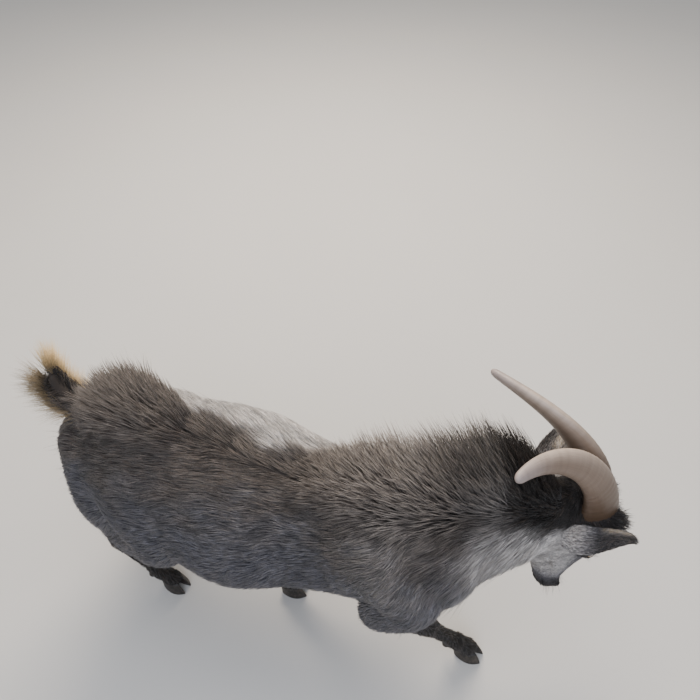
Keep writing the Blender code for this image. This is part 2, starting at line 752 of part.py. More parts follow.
def fore_room(joints, gap=0.0):
    """Space round a foreleg from its forearm down, to part it from the trunk."""
    elbow, knee, fetlock, hoof = (Vector(p) for p in joints)
    run = (knee - elbow).normalized()
    start = elbow.lerp(knee, 0.40) - run * gap
    rows = [(*start, 0.036 + gap, 0.044 + gap), (*(start + run * 0.02), 0.036 + gap, 0.044 + gap),
            (*knee, 0.032 + gap, 0.040 + gap), (*fetlock, 0.032 + gap, 0.036 + gap),
            (hoof.x, hoof.y, -0.04, 0.04 + gap, 0.05 + gap)]
    return add("room", tube(rows, sides=20, steps=2, end=0.02))


def hind_room(joints, gap=0.0):
    """Space round a hind leg from its gaskin down, to part it from the trunk."""
    stifle, hock = (Vector(p) for p in joints[:2])
    down = Vector((-0.24, 0, -1)).normalized()
    middle = stifle.lerp(hock, 0.66) + Vector((0.010, 0, 0)) + down * (0.13 - gap / 2)
    return slab(middle, down, 0.11 + 2 * gap, 0.19 + 2 * gap, 0.26 + gap)


def cleft(frame):
    """Wedge that parts the two claws of a hoof from the toe and the sole up."""
    mesh = bmesh.new()
    corners = []
    for x in (-HOOF_LENGTH, HOOF_LENGTH):
        for y, z in ((-0.0032, -0.004), (0.0032, -0.004), (0.0006, HOOF_HEIGHT * 0.72), (-0.0006, HOOF_HEIGHT * 0.72)):
            corners.append(mesh.verts.new((x, y * (1.5 if x > 0 else 0.8), z)))
    low, high = corners[:4], corners[4:]
    for k in range(4):
        mesh.faces.new((low[k - 1], low[k], high[k], high[k - 1]))
    mesh.faces.new(low)
    mesh.faces.new(high)
    bmesh.ops.recalc_face_normals(mesh, faces=mesh.faces)
    return add("cleft", mesh, frame)


def horn_rows(side, start=-0.014):
    """Horn's run from below the skin to its tip, in the head's frame."""
    out = SIDES[side]
    lean, bend = math.radians(-11.0), math.radians(97.4)
    splay, spread = math.radians(-1.6), math.radians(50)
    count = 12
    point = Vector((-0.017, out * HORN_HALF_SPREAD, 0.0))
    first = Vector((math.sin(lean) * -1 * math.cos(splay), out * math.sin(splay), math.cos(lean) * math.cos(splay)))
    rows = [(*(point + first * start), 0.0090, 0.0150)]
    for k in range(count + 1):
        share = k / count
        width = 0.0245 * (1 - share) ** 0.75 + 0.0058
        thick = 0.0115 * (1 - share) ** 0.75 + 0.0052
        rows.append((*point, thick, width))
        middle = (k + 0.5) / count
        back, outward = lean + bend * middle ** 0.7, splay + spread * middle ** 1.56
        step = Vector((-math.sin(back) * math.cos(outward), out * math.sin(outward),
                       math.cos(back) * math.cos(outward)))
        point = point + step * HORN_LENGTH / count
    return rows


def ear_mesh(side):
    """Cupped ear, forward and a little out, in the head's frame.

    Each ring across the ear is a bent leaf: an outer arc and an inner arc joined at the rims.
    """
    out = SIDES[side]
    base = Vector((-0.073, out * 0.043, -0.022))
    axis = EAR_AXIS[side].normalized()
    opening = Vector((0.10, out * 0.62, -0.78))
    opening = (opening - axis * axis.dot(opening)).normalized()
    across = axis.cross(opening)
    mesh = bmesh.new()
    rings = []
    count = 10
    for k in range(count + 1):
        share = k / count
        reach = EAR_LENGTH * share
        half = 0.0275 * math.sin(math.pi * min(1.0, 0.11 + 0.89 * share) ** 0.85) ** 0.75 + 0.0016
        wrap = math.radians(118 - 62 * share)
        thick = 0.0034 * (1 - 0.55 * share)
        hollow = min(1.0, max(0.0, (share - 0.10) / 0.25))
        centre = base + axis * reach - opening * (0.012 * share * share)
        outer, inner = [], []
        for j in range(7):
            turn = wrap * (j / 6 * 2 - 1)
            radius = half / max(0.45, math.sin(min(wrap, math.pi / 2)))
            arm = across * math.sin(turn) * radius - opening * (math.cos(turn) * radius)
            outer.append(centre + arm)
            edge = abs(j - 3) / 3
            deep = thick * (1 - 0.45 * edge) + (1 - hollow) * radius * 0.9 * (1 - edge)
            inner.append(centre + arm * (1 - deep / radius) + opening * thick * 0.3 * (1 - edge))
        rings.append([mesh.verts.new(p) for p in outer + inner[::-1]])
    total = len(rings[0])
    for low, high in zip(rings, rings[1:]):
        for k in range(total):
            mesh.faces.new((low[k - 1], low[k], high[k], high[k - 1]))
    mesh.faces.new(rings[0])
    mesh.faces.new(rings[-1])
    bmesh.ops.recalc_face_normals(mesh, faces=mesh.faces)
    bmesh.ops.triangulate(mesh, faces=mesh.faces)
    return mesh


def middle_of(nodes):
    """Middle of all the nodes, seen from above."""
    places = np.array([vert.co for node in nodes for vert in node.data.vertices])
    low, high = places.min(axis=0), places.max(axis=0)
    return Vector(((low[0] + high[0]) / 2, (low[1] + high[1]) / 2, 0))


def build():
    """Build every node."""
    clear_scene()
    coat = finish("coat", COAT, 0.85)
    points = finish("black points", POINTS, 0.85)
    horn = finish("horn", HORN, 0.45)
    hoof = finish("hoof", HOOF, 0.5)
    eye = finish("eye", EYE, 0.1, 1.0)
    nodes = []

    flesh = build_flesh()
    head = fuse("head", in_frame(head_meshes()) + [neck()], 0.0030, 4, HEAD_FACES)
    comb(head, head_locks(surface(head), random.Random(3)))

    # The plane behind the jaw parts head and neck
    face = HEAD_FRAME.to_3x3()
    normal = face @ Vector((1, 0, -0.32)).normalized()
    nape = HEAD_FRAME @ Vector((-0.088, 0, -0.020))
    ahead = slab(nape + normal * 0.15, normal, 0.5, 0.36, 0.30)
    boolean(flesh, ahead)
    behind = slab(nape - normal * (0.15 - GAP), normal, 0.5, 0.5, 0.30)
    boolean(head, behind)
    keep_largest(head)

    cuts = [slab((0.062, 0.022, 0.380), (0.90, 0.36, 0.24), 0.40, 0.48),
            slab((-0.520, 0, 0.450), (-1, 0, 0.15), 0.16, 0.20)]
    places = {"torso": (-0.22, 0, 0.30), "neck": (0.15, 0.06, 0.36), "tail": (-0.56, 0, 0.46)}
    for cut in cuts:
        boolean(flesh, cut)
    for side in SIDES:
        for kind, table, room in (("foreleg_", FORE, fore_room), ("hind_leg_", HIND, hind_room)):
            leg = add(kind + side, bmesh.new())
            leg.data = flesh.data.copy()
            leg.data.materials.append(points)
            boolean(leg, room(table[side]), "INTERSECT")
            boolean(flesh, room(table[side], GAP))
            keep_largest(leg)
            nodes.append(leg)
    parts = islands(flesh)
    drop(flesh)
    for part in parts:
        middle = sum((vert.co for vert in part.verts), Vector()) / len(part.verts)
        name = min(places, key=lambda key: (Vector(places[key]) - middle).length)
        if len(part.verts) > 60 and name not in [n.name for n in nodes]:
            nodes.append(add(name, part, material=coat))
        else:
            part.free()
    legs = {node.name: node for node in nodes}
    throat = legs["neck"]

    for kind, table in (("fore", FORE), ("hind", HIND)):
        for side in SIDES:
            joints = table[side]
            frame = hoof_frame(SIDES[side], joints[3])
            leg = legs[("foreleg_" if kind == "fore" else "hind_leg_") + side]
            boolean(leg, add("clearance", hoof_mesh(GAP), frame))
            floor = slab((joints[3][0], joints[3][1], -0.03 + 0.012), (0, 0, 1), 0.12, 0.12, 0.06)
            boolean(leg, floor)
            keep_largest(leg)
            foot = add("hoof_%s_%s" % (kind, side), hoof_mesh(), frame, hoof)
            boolean(foot, cleft(frame))
            nodes.append(foot)

    tree = BVHTree.FromPolygons(
        [HEAD_FRAME.inverted() @ vert.co for vert in head.data.vertices],
        [face.vertices for face in head.data.polygons])
    for side in SIDES:
        broad = (SIDES[side] * 0.30, 0.85, SIDES[side] * 0.60)
        shape = tube(horn_rows(side), hint=broad, sides=12, steps=1, end=0.9)
        piece = add("horn_" + side, shape, HEAD_FRAME, horn)
        triangulate(piece)
        clear_of(head, piece)
        clear_of(throat, piece)
        nodes.append(piece)
        ear = add("ear_" + side, ear_mesh(side), HEAD_FRAME, coat)
        keep_largest(clear_of(ear, piece))
        clear_of(head, ear, 2 * GAP)
        clear_of(throat, ear, 2 * GAP)
        keep_largest(clear_of(ear, head, GAP / 2))
        nodes.append(ear)
        place = Vector((EYE_PLACE.x, SIDES[side] * EYE_PLACE.y, EYE_PLACE.z))
        piece = add("eye_" + side, ball(place, [EYE_RADIUS] * 3, detail=2), HEAD_FRAME, eye)
        clear_of(head, piece)
        for tool in face_cutters(SIDES[side], tree):
            boolean(head, add("tool", tool, HEAD_FRAME))
        nodes.append(piece)
    keep_largest(head)
    keep_largest(throat)
    head.data.materials.append(coat)
    nodes.append(head)

    goat = bpy.data.objects.new("goat", None)
    bpy.context.collection.objects.link(goat)
    goat.location = -middle_of(nodes)
    for node in nodes:
        triangulate(node)
        keep_largest(node)
        node.parent = goat


build()
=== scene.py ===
"""Dwarf billy goat, life size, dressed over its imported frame.

One skin stands for all the flesh, and tufts of hair grow from it along the lie of the coat. Horns,
ears, eyes and hooves are pieces of their own. Everything is modelled in the animal's own frame:
metres, +X along the trunk toward the head, +Y to its left, +Z up from the floor.
"""
import logging
import math
from dataclasses import dataclass, field
from enum import Enum, IntEnum
from typing import Iterable, Sequence

import bmesh
import bpy
import numpy as np
from mathutils import Euler, Matrix, Vector
from mathutils.bvhtree import BVHTree
from mathutils.kdtree import KDTree

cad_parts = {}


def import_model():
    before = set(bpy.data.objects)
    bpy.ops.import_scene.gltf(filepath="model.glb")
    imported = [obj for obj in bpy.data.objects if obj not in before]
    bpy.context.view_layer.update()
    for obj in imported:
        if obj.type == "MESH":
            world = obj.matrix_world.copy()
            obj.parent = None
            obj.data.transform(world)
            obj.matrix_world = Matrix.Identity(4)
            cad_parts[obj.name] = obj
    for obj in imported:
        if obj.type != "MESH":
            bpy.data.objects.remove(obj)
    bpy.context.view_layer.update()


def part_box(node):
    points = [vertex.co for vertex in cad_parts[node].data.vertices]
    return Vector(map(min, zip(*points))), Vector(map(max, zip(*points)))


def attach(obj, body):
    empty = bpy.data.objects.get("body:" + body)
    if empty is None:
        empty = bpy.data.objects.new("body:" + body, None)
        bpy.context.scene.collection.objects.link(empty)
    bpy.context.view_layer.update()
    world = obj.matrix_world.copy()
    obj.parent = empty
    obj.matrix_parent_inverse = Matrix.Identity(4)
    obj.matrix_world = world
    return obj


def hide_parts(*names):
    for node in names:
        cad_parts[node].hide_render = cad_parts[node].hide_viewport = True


log = logging.getLogger("goat")

Array = np.ndarray
BMesh = bmesh.types.BMesh
Mesh = bpy.types.Mesh
Object = bpy.types.Object
Material = bpy.types.Material
NodeTree = bpy.types.NodeTree
Socket = bpy.types.NodeSocket

BODY = "root"
SIDES = {"right": -1, "left": 1}
FLESH_NODES = ("torso", "neck", "tail", "head", "foreleg_right", "foreleg_left",
               "hind_leg_right", "hind_leg_left")
MOST_TRIANGLES = 195_000

# Driving sizes of the animal, in metres
WITHERS_HEIGHT = 0.440
CROUP_HEIGHT = 0.452
BACK_HEIGHT = 0.418
TRUNK_LENGTH = 0.525
BARREL_HALF_WIDTH = 0.147
BELLY_HEIGHT = 0.158
BRISKET_HEIGHT = 0.200
COAT_DEPTH = 0.007
SHORT_COAT = 0.0014
ROOT_DEPTH = 0.0012
PATCH = 0.003  # side of a tuft's patch on the coat's map, as a share of the map

POLL = Vector((0.291, 0.141, 0.378))
HEAD_TURN = Euler((math.radians(-9.9), math.radians(-2.3), math.radians(19.0)), "ZYX")
HEAD_FRAME = Matrix.Translation(POLL) @ HEAD_TURN.to_matrix().to_4x4()
EYE_RADIUS = 0.0122
EYE_PLACE = Vector((-0.016, 0.0315, -0.066))
NOSTRIL = Vector((-0.0325, 0.0125, -0.1905))
HORN_LENGTH = 0.271
HORN_HALF_SPREAD = 0.025
EAR_LENGTH = 0.106
EAR_BASE = Vector((-0.073, 0.043, -0.022))
EAR_AXIS = {"right": Vector((0.87, -0.31, 0.21)), "left": Vector((0.38, 0.84, 0.38))}
HOOF_LENGTH, HOOF_WIDTH, HOOF_HEIGHT = 0.050, 0.040, 0.027
TOE_OUT = math.radians(6)
LIT_POINT = Vector((0, 0, 0.25))

FORE = {
    # elbow, knee, fetlock and hoof of each foreleg
    "right": ((0.020, -0.068, 0.224), (0.092, -0.032, 0.142),
              (0.146, -0.006, 0.054), (0.170, 0.002, 0)),
    "left": ((-0.002, 0.078, 0.224), (-0.066, 0.046, 0.142),
             (-0.150, 0.008, 0.054), (-0.168, 0.000, 0)),
}
HIND = {
    # stifle, hock, fetlock and hoof of each hind leg
    "right": ((-0.340, -0.098, 0.245), (-0.455, -0.086, 0.160),
              (-0.405, -0.076, 0.052), (-0.385, -0.072, 0)),
    "left": ((-0.345, 0.098, 0.245), (-0.482, 0.086, 0.165),
             (-0.452, 0.076, 0.052), (-0.432, 0.072, 0)),
}
TAIL = [(-0.490, 0, 0.416, 0.022, 0.018), (-0.522, 0, 0.428, 0.020, 0.016),
        (-0.538, 0, 0.450, 0.017, 0.012), (-0.545, 0.002, 0.474, 0.011, 0.008)]
HEAD_ROWS = [
    # height along the nose, front of the face, back of the jaw, half width
    (0.020, -0.030, -0.082, 0.030),
    (0.004, -0.003, -0.098, 0.040),
    (-0.022, 0.012, -0.106, 0.0450),
    (-0.052, 0.018, -0.110, 0.0450),
    (-0.082, 0.011, -0.104, 0.0375),
    (-0.114, -0.004, -0.093, 0.0290),
    (-0.146, -0.018, -0.081, 0.0238),
    (-0.170, -0.027, -0.073, 0.0215),
    (-0.182, -0.032, -0.068, 0.0195),
]
CREST = [
    # place on the spine, then where the raised hair points and how long it is
    ((-0.478, 0.000, 0.430), (-0.34, 0.00, 0.94), 0.050),
    ((-0.430, 0.000, 0.444), (-0.30, 0.05, 0.95), 0.082),
    ((-0.375, 0.000, 0.450), (-0.22, 0.10, 0.97), 0.092),
    ((-0.290, 0.004, 0.434), (-0.55, 0.05, 0.83), 0.040),
    ((-0.180, 0.010, 0.417), (-0.62, 0.05, 0.78), 0.034),
    ((-0.080, 0.012, 0.423), (-0.36, 0.08, 0.93), 0.056),
    ((0.000, 0.010, 0.436), (-0.20, 0.06, 0.97), 0.102),
    ((0.070, 0.030, 0.440), (-0.22, 0.04, 0.97), 0.114),
    ((0.130, 0.064, 0.440), (-0.22, 0.14, 0.96), 0.116),
    ((0.185, 0.096, 0.428), (-0.28, 0.18, 0.94), 0.100),
    ((0.214, 0.110, 0.412), (-0.40, 0.15, 0.90), 0.056),
]
RUMP_START = -0.27
NECK_START = Vector((0.020, 0.0, 0.336))
NECK_RUN = Vector((0.89, 0.46, 0.0)).normalized()
NAPE = Vector((-0.088, 0, -0.020))
NAPE_NORMAL = Vector((1, 0, -0.32)).normalized()


class Region(Enum):
    """Stretches of the coat, each with its own lie."""

    TRUNK = 0
    NECK = 1
    HEAD = 2
    TAIL = 3
    FORELEG = 4
    HIND_LEG = 5


class Seed(IntEnum):
    """Seeds of the random draws, one for each use."""

    MARKINGS = 5
    ROOTS = 7
    TUFTS = 8
    PALE_TIPS = 9
    SWIRLS = 11
    RIPPLES = 12
    LYING_LOCKS = 21
    RAISED_LOCKS = 22
    HORN_RIGHT = 31
    HORN_LEFT = 32
    EAR_RIGHT = 41
    EAR_LEFT = 42
    GUARD_HAIRS = 51
    GUARD_ROOTS = 52
    TAIL_FRINGE = 53
    WHISKERS = 54
    LASHES = 55


@dataclass(frozen=True)
class Growth:
    """How the hair of one region grows.

    Attributes:
        density: roots on a patch, next to the trunk's.
        length: least length of lying hair, in metres like the rest.
        loft: how far the tips stand off the skin.
        width: width of a tuft.
    """

    density: float
    length: float
    loft: float
    width: float


GROWTH = {
    Region.TRUNK: Growth(1.0, 0.029, 0.0048, 0.00135),
    Region.NECK: Growth(1.15, 0.050, 0.0062, 0.00125),
    Region.HEAD: Growth(2.8, 0.0075, 0.0011, 0.0010),
    Region.TAIL: Growth(1.8, 0.044, 0.010, 0.0012),
    Region.FORELEG: Growth(1.3, 0.015, 0.0036, 0.0012),
    Region.HIND_LEG: Growth(1.3, 0.015, 0.0030, 0.0012),
}
LEGS = ((FORE, Region.FORELEG), (HIND, Region.HIND_LEG))


def by_region(measure: str, regions: Array) -> Array:
    """One measure of the growth table for the region of each point."""
    return np.array([getattr(GROWTH[kind], measure) for kind in Region])[regions]


def within(regions: Array, *kinds: Region) -> Array:
    """Whether each point's region is one of some kinds."""
    return np.isin(regions, [kind.value for kind in kinds])


def smoothstep(low: float, high: float, value: Array) -> Array:
    """Smooth rise from 0 at low to 1 at high, which may be the other way round.

    Args:
        low: where the rise starts.
        high: where it ends.
        value: what is measured.

    Returns:
        Shares from 0 to 1.
    """
    share = np.clip((value - low) / (high - low), 0, 1)
    return share * share * (3 - 2 * share)


def hump(*terms: tuple) -> Array:
    """Smooth hump, 1 at its centre: each term is a value, its centre and its spread."""
    return np.exp(-sum(((value - centre) / spread) ** 2 for value, centre, spread in terms))


def unit(vectors: Array) -> Array:
    """Vectors at length one, row by row."""
    return vectors / np.maximum(np.linalg.norm(vectors, axis=-1, keepdims=True), 1e-9)


def mixed(first: Array, second: Array, share: Array) -> Array:
    """Rows of two arrays mixed by each row's share of the second."""
    return first * (1 - share[:, None]) + second * share[:, None]


def mirrored(place: Vector, out: int) -> Vector:
    """A place of the left side, or its mirror image on the right."""
    return Vector((place.x, out * place.y, place.z))


def neck_run(points: Array) -> Array:
    """How far along the neck each point lies."""
    return (points - np.array(NECK_START)) @ np.array(NECK_RUN)


def smooth_rows(rows: Sequence[Sequence[float]], steps: int) -> Array:
    """Rows run through by a Catmull-Rom curve.

    Args:
        rows: the rows that the curve passes.
        steps: rows to make for each span.

    Returns:
        The finer rows.
    """
    rows = np.array(rows, float)
    ends = np.vstack([2 * rows[0] - rows[1], rows, 2 * rows[-1] - rows[-2]])
    out = []
    for a, b, c, d in zip(ends, ends[1:], ends[2:], ends[3:]):
        for t in np.arange(steps) / steps:
            cubic = (3 * b - a - 3 * c + d) * t ** 3
            out.append((2 * b + (c - a) * t + (2 * a - 5 * b + 4 * c - d) * t * t + cubic) / 2)
    return np.array(out + [rows[-1]])


def waves(points: Array, span: float, seed: int) -> Array:
    """Soft noise in space, about -1 to 1, from a few crossed waves.

    Args:
        points: where it is read.
        span: rough distance from crest to crest, in metres.
        seed: which noise.

    Returns:
        One value for each point.
    """
    draw = np.random.default_rng(seed)
    total = np.zeros(len(points))
    for _ in range(6):
        way = unit(draw.normal(size=3)) * draw.uniform(0.6, 1.5) * 2 * math.pi / span
        total += np.sin(points @ way + draw.uniform(0, 2 * math.pi))
    return total / 2.6


def tube(rows: Sequence[Sequence[float]], hint: tuple = (0, 1, 0), sides: int = 24,
         steps: int = 4) -> BMesh:
    """Closed tube with rounded ends.

    Args:
        rows: x, y, z, half width, half depth above and, if given, below.
        hint: the way its width lies, as far as its run lets it.
        sides: corners round it.
        steps: rings for each span.

    Returns:
        The tube as a bmesh.
    """
    swell = 0.7  # how far the ends bulge, as a share of their smallest half size
    rows = smooth_rows([tuple(row) if len(row) == 6 else (*row, row[4]) for row in rows], steps)
    runs = np.gradient(rows[:, :3], axis=0)
    profile = []
    for at, sign, leans in ((0, -1, (60, 30)), (-1, 1, (30, 60))):
        run = Vector(runs[at]).normalized()
        reach = swell * min(rows[at, 3:])
        caps = []
        for lean in leans:
            shrink, push = math.cos(math.radians(lean)), math.sin(math.radians(lean))
            centre = Vector(rows[at, :3]) + run * sign * reach * push
            caps.append((centre, run, *(rows[at, 3:] * shrink)))
        profile.append((caps, Vector(rows[at, :3]) + run * sign * reach))
    (first, start), (last, stop) = profile
    middle = [(Vector(row[:3]), Vector(run).normalized(), *row[3:]) for row, run in zip(rows, runs)]
    mesh = bmesh.new()
    rings = []
    for centre, run, half, above, below in first + middle + last:
        side = (Vector(hint) - run * run.dot(Vector(hint))).normalized()
        up = run.cross(side)
        ring = []
        for k in range(sides):
            turn = 2 * math.pi * k / sides
            depth = above if math.sin(turn) > 0 else below
            place = centre + side * half * math.cos(turn) + up * depth * math.sin(turn)
            ring.append(mesh.verts.new(place))
        rings.append(ring)
    bridge(mesh, rings)
    for tip, edge in ((start, rings[0]), (stop, rings[-1])):
        pole = mesh.verts.new(tip)
        for k in range(sides):
            mesh.faces.new((edge[k - 1], edge[k], pole))
    bmesh.ops.recalc_face_normals(mesh, faces=mesh.faces)
    return mesh


def stations(start: Vector, stop: Vector, *rows: tuple) -> list:
    """Rows of a tube on the way from one joint to another.

    Args:
        start: the first joint.
        stop: the second.
        rows: share of the way, half width and half depth of each.

    Returns:
        Rows as tube takes them.
    """
    return [(*start.lerp(stop, share), half, depth) for share, half, depth in rows]


def bridge(mesh: BMesh, rings: Sequence[Sequence[bmesh.types.BMVert]]) -> None:
    """Faces between closed rings of the same count, one after another."""
    for low, high in zip(rings, rings[1:]):
        for k in range(len(low)):
            mesh.faces.new((low[k - 1], low[k], high[k], high[k - 1]))


def ball(centre: Sequence[float], radii: Sequence[float], turn: tuple = (0, 0, 0),
         detail: int = 4) -> BMesh:
    """Ellipsoid.

    Args:
        centre: its middle.
        radii: its half sizes.
        turn: degrees about X, Y and Z.
        detail: subdivisions.

    Returns:
        The ellipsoid as a bmesh.
    """
    mesh = bmesh.new()
    bmesh.ops.create_icosphere(mesh, subdivisions=detail, radius=1)
    spin = Euler([math.radians(a) for a in turn]).to_matrix().to_4x4()
    mesh.transform(Matrix.Translation(centre) @ spin @ Matrix.Diagonal((*radii, 1)))
    return mesh


def link(name: str, data: bpy.types.ID) -> Object:
    """A new object of the scene with its mesh, lamp or camera."""
    obj = bpy.data.objects.new(name, data)
    bpy.context.scene.collection.objects.link(obj)
    return obj


def add(name: str, mesh: BMesh) -> Object:
    """An object made of a bmesh, which it frees."""
    data = bpy.data.meshes.new(name)
    mesh.to_mesh(data)
    mesh.free()
    return link(name, data)


def absorb(whole: BMesh, mesh: BMesh) -> None:
    """Put one bmesh into another, and free it."""
    data = bpy.data.meshes.new("piece")
    mesh.to_mesh(data)
    mesh.free()
    whole.from_mesh(data)
    bpy.data.meshes.remove(data)


def bake(obj: Object) -> Object:
    """The object, with its modifiers put into its mesh."""
    graph = bpy.context.evaluated_depsgraph_get()
    data = bpy.data.meshes.new_from_object(obj.evaluated_get(graph))
    obj.modifiers.clear()
    obj.data = data
    return obj


def boolean(obj: Object, tool: Object, operation: str = "DIFFERENCE") -> None:
    """Apply one Boolean and remove its tool."""
    cut = obj.modifiers.new("cut", "BOOLEAN")
    cut.operation = operation
    cut.solver = "MANIFOLD"
    cut.object = tool
    bake(obj)
    bpy.data.objects.remove(tool)


def fuse(name: str, meshes: list, voxel: float, smoothing: int) -> Object:
    """Overlapping closed meshes joined into one skin.

    Args:
        name: name of the object.
        meshes: the bmeshes, which it frees.
        voxel: size of the skin's faces.
        smoothing: rounds of smoothing.

    Returns:
        The skin.
    """
    whole = bmesh.new()
    for mesh in meshes:
        absorb(whole, mesh)
    obj = add(name, whole)
    remesh = obj.modifiers.new("remesh", "REMESH")
    remesh.mode = "VOXEL"
    remesh.voxel_size = voxel
    soften = obj.modifiers.new("soften", "SMOOTH")
    soften.factor = 0.5
    soften.iterations = smoothing
    return bake(obj)


def surface(data: Mesh) -> BVHTree:
    """A search tree of a mesh's faces."""
    return BVHTree.FromPolygons([vert.co for vert in data.vertices],
                                [face.vertices for face in data.polygons])


def read_vectors(data: Mesh, key: str = "co") -> Array:
    """Places of a mesh's vertices, or their normals."""
    rows = np.empty(len(data.vertices) * 3, np.float32)
    data.vertices.foreach_get(key, rows)
    return rows.reshape(-1, 3).astype(float)


def write_attribute(data: Mesh, name: str, values: Array) -> None:
    """Keep four values for each vertex as a colour attribute."""
    layer = data.attributes.new(name, "FLOAT_COLOR", "POINT")
    layer.data.foreach_set("color", np.ascontiguousarray(values, np.float32).ravel())


def write_hair(data: Mesh, marks: Array, strands: Array, spots: Array) -> None:
    """Give each vertex of some hair its look.

    Args:
        data: the hair's mesh.
        marks: its shares of black, pale, brown and bluish.
        strands: its place along the hair, its shade, its pale tip and its share of cream.
        spots: its place on the coat's map.
    """
    write_attribute(data, "marks", marks)
    write_attribute(data, "tuft", strands)
    corner = np.empty(len(data.loops), np.int32)
    data.loops.foreach_get("vertex_index", corner)
    layer = data.uv_layers.new(name="OFBake")
    layer.data.foreach_set("uv", spots[corner].astype(np.float32).ravel())


def write_bare(data: Mesh, marks: Array, along: float, chance: float) -> None:
    """Give a bare skin the look of one place along the hair, all over.

    Args:
        data: the skin's mesh.
        marks: shares of black, pale, brown and bluish for each vertex.
        along: the place along the hair, from its root, 0, to its tip, 1.
        chance: the hair's shade, from 0 to 1.
    """
    write_attribute(data, "marks", marks)
    write_attribute(data, "tuft", np.tile((along, chance, 0.0, 0.0), (len(marks), 1)))


def polyline(points: Array, line: Array) -> tuple:
    """Nearest places on a line of points.

    Args:
        points: what is measured, N by 3.
        line: the line's corners, M by 3.

    Returns:
        Distance, index of the span, share along it, and the span's unit run, for each point.
    """
    best = np.full(len(points), np.inf)
    span = np.zeros(len(points), int)
    share = np.zeros(len(points))
    for k, (a, b) in enumerate(zip(line, line[1:])):
        run = b - a
        t = np.clip((points - a) @ run / (run @ run), 0, 1)
        gap = np.linalg.norm(points - a - t[:, None] * run, axis=1)
        near = gap < best
        best[near], span[near], share[near] = gap[near], k, t[near]
    return best, span, share, unit(np.diff(line, axis=0))[span]


@dataclass
class Site:
    """Where the animal stands in the frame, and how finished pieces join it."""

    shift: Vector = field(default_factory=Vector)

    def settle(self) -> None:
        """Find the animal's place from the right eye of the frame."""
        low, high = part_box("eye_right")
        self.shift = (low + high) / 2 - HEAD_FRAME @ mirrored(EYE_PLACE, SIDES["right"])

    def join(self, obj: Object, material: Material, slot: str, nodes: Iterable[str] = ()) -> None:
        """Dress a piece, put it in its place and let it ride.

        Args:
            obj: the piece, modelled in the animal's frame.
            material: its finish.
            slot: not used.
            nodes: solids that it stands for.
        """
        obj.data.materials.clear()
        obj.data.materials.append(material)
        obj.data.transform(Matrix.Translation(self.shift))
        obj.data.shade_smooth()
        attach(obj, BODY)
        if nodes:
            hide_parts(*nodes)
        obj.data.calc_loop_triangles()
        log.info("%s: %d triangles", obj.name, len(obj.data.loop_triangles))


def linear(code: str) -> tuple:
    """A colour of six sRGB hex digits as linear red, green, blue and alpha."""
    channels = []
    for k in (0, 2, 4):
        value = int(code[k:k + 2], 16) / 255
        channels.append(value / 12.92 if value <= 0.04045 else ((value + 0.055) / 1.055) ** 2.4)
    return (*channels, 1.0)


def add_node(tree: NodeTree, kind: str, settings: dict | None = None,
             inputs: dict | None = None) -> bpy.types.Node:
    """Add one node to a tree.

    Args:
        tree: the node tree.
        kind: the type of the node.
        settings: attributes of the node.
        inputs: sockets or constants for its inputs, by their name or number.

    Returns:
        The new node.
    """
    node = tree.nodes.new(kind)
    for key, value in (settings or {}).items():
        setattr(node, key, value)
    for key, value in (inputs or {}).items():
        if isinstance(value, Socket):
            tree.links.new(value, node.inputs[key])
        else:
            node.inputs[key].default_value = value
    return node


def compute(tree: NodeTree, operation: str, *values: Socket | float) -> Socket:
    """One operation on sockets and constants."""
    inputs = dict(enumerate(values))
    return add_node(tree, "ShaderNodeMath", {"operation": operation}, inputs).outputs[0]


def blend(tree: NodeTree, share: Socket | float, first: Socket | tuple, second: Socket | tuple,
          way: str = "MIX") -> Socket:
    """Mix two colours.

    Args:
        tree: the node tree.
        share: how much of the second.
        first: the first colour, as a socket or linear.
        second: the second colour, likewise.
        way: how the two are put together.

    Returns:
        The mixed colour's socket.
    """
    return add_node(tree, "ShaderNodeMix", {"data_type": "RGBA", "blend_type": way},
                    {0: share, 6: first, 7: second}).outputs[2]


def reshape(tree: NodeTree, value: Socket, low: float, high: float, start: float = 0.0,
            stop: float = 1.0) -> Socket:
    """A value's range low to high, stretched to start to stop and held there."""
    return add_node(tree, "ShaderNodeMapRange", {"interpolation_type": "SMOOTHSTEP"},
                    {0: value, 1: low, 2: high, 3: start, 4: stop}).outputs[0]


def stretch(tree: NodeTree, place: Socket, *scale: float) -> Socket:
    """Places stretched along their three axes."""
    return add_node(tree, "ShaderNodeMapping", None, {"Vector": place, "Scale": scale}).outputs[0]


def noise(tree: NodeTree, place: Socket, scale: float, detail: float) -> Socket:
    """Soft noise of a scale and a number of finer rounds."""
    return add_node(tree, "ShaderNodeTexNoise", None,
                    {"Vector": place, "Scale": scale, "Detail": detail}).outputs["Fac"]


@dataclass(frozen=True)
class Finish:
    """What every finish has: its name, and how rough its surface is."""

    name: str
    roughness: float = 0.5

    def material(self, **values: float) -> tuple:
        """A new material with constants on its Principled shader.

        Args:
            values: inputs of the shader, with underscores for the spaces of their names.

        Returns:
            The material, its tree and its shader.
        """
        material = bpy.data.materials.new(self.name)
        material.use_nodes = True
        shader = material.node_tree.nodes["Principled BSDF"]
        shader.inputs["Roughness"].default_value = self.roughness
        for key, value in values.items():
            shader.inputs[key.replace("_", " ")].default_value = value
        return material, material.node_tree, shader

    def relief(self, tree: NodeTree, shader: bpy.types.Node, height: Socket, strength: float,
               depth: float) -> None:
        """Give the shader fine relief, its depth in metres."""
        bump = add_node(tree, "ShaderNodeBump", None,
                        {"Height": height, "Strength": strength, "Distance": depth})
        tree.links.new(bump.outputs[0], shader.inputs["Normal"])


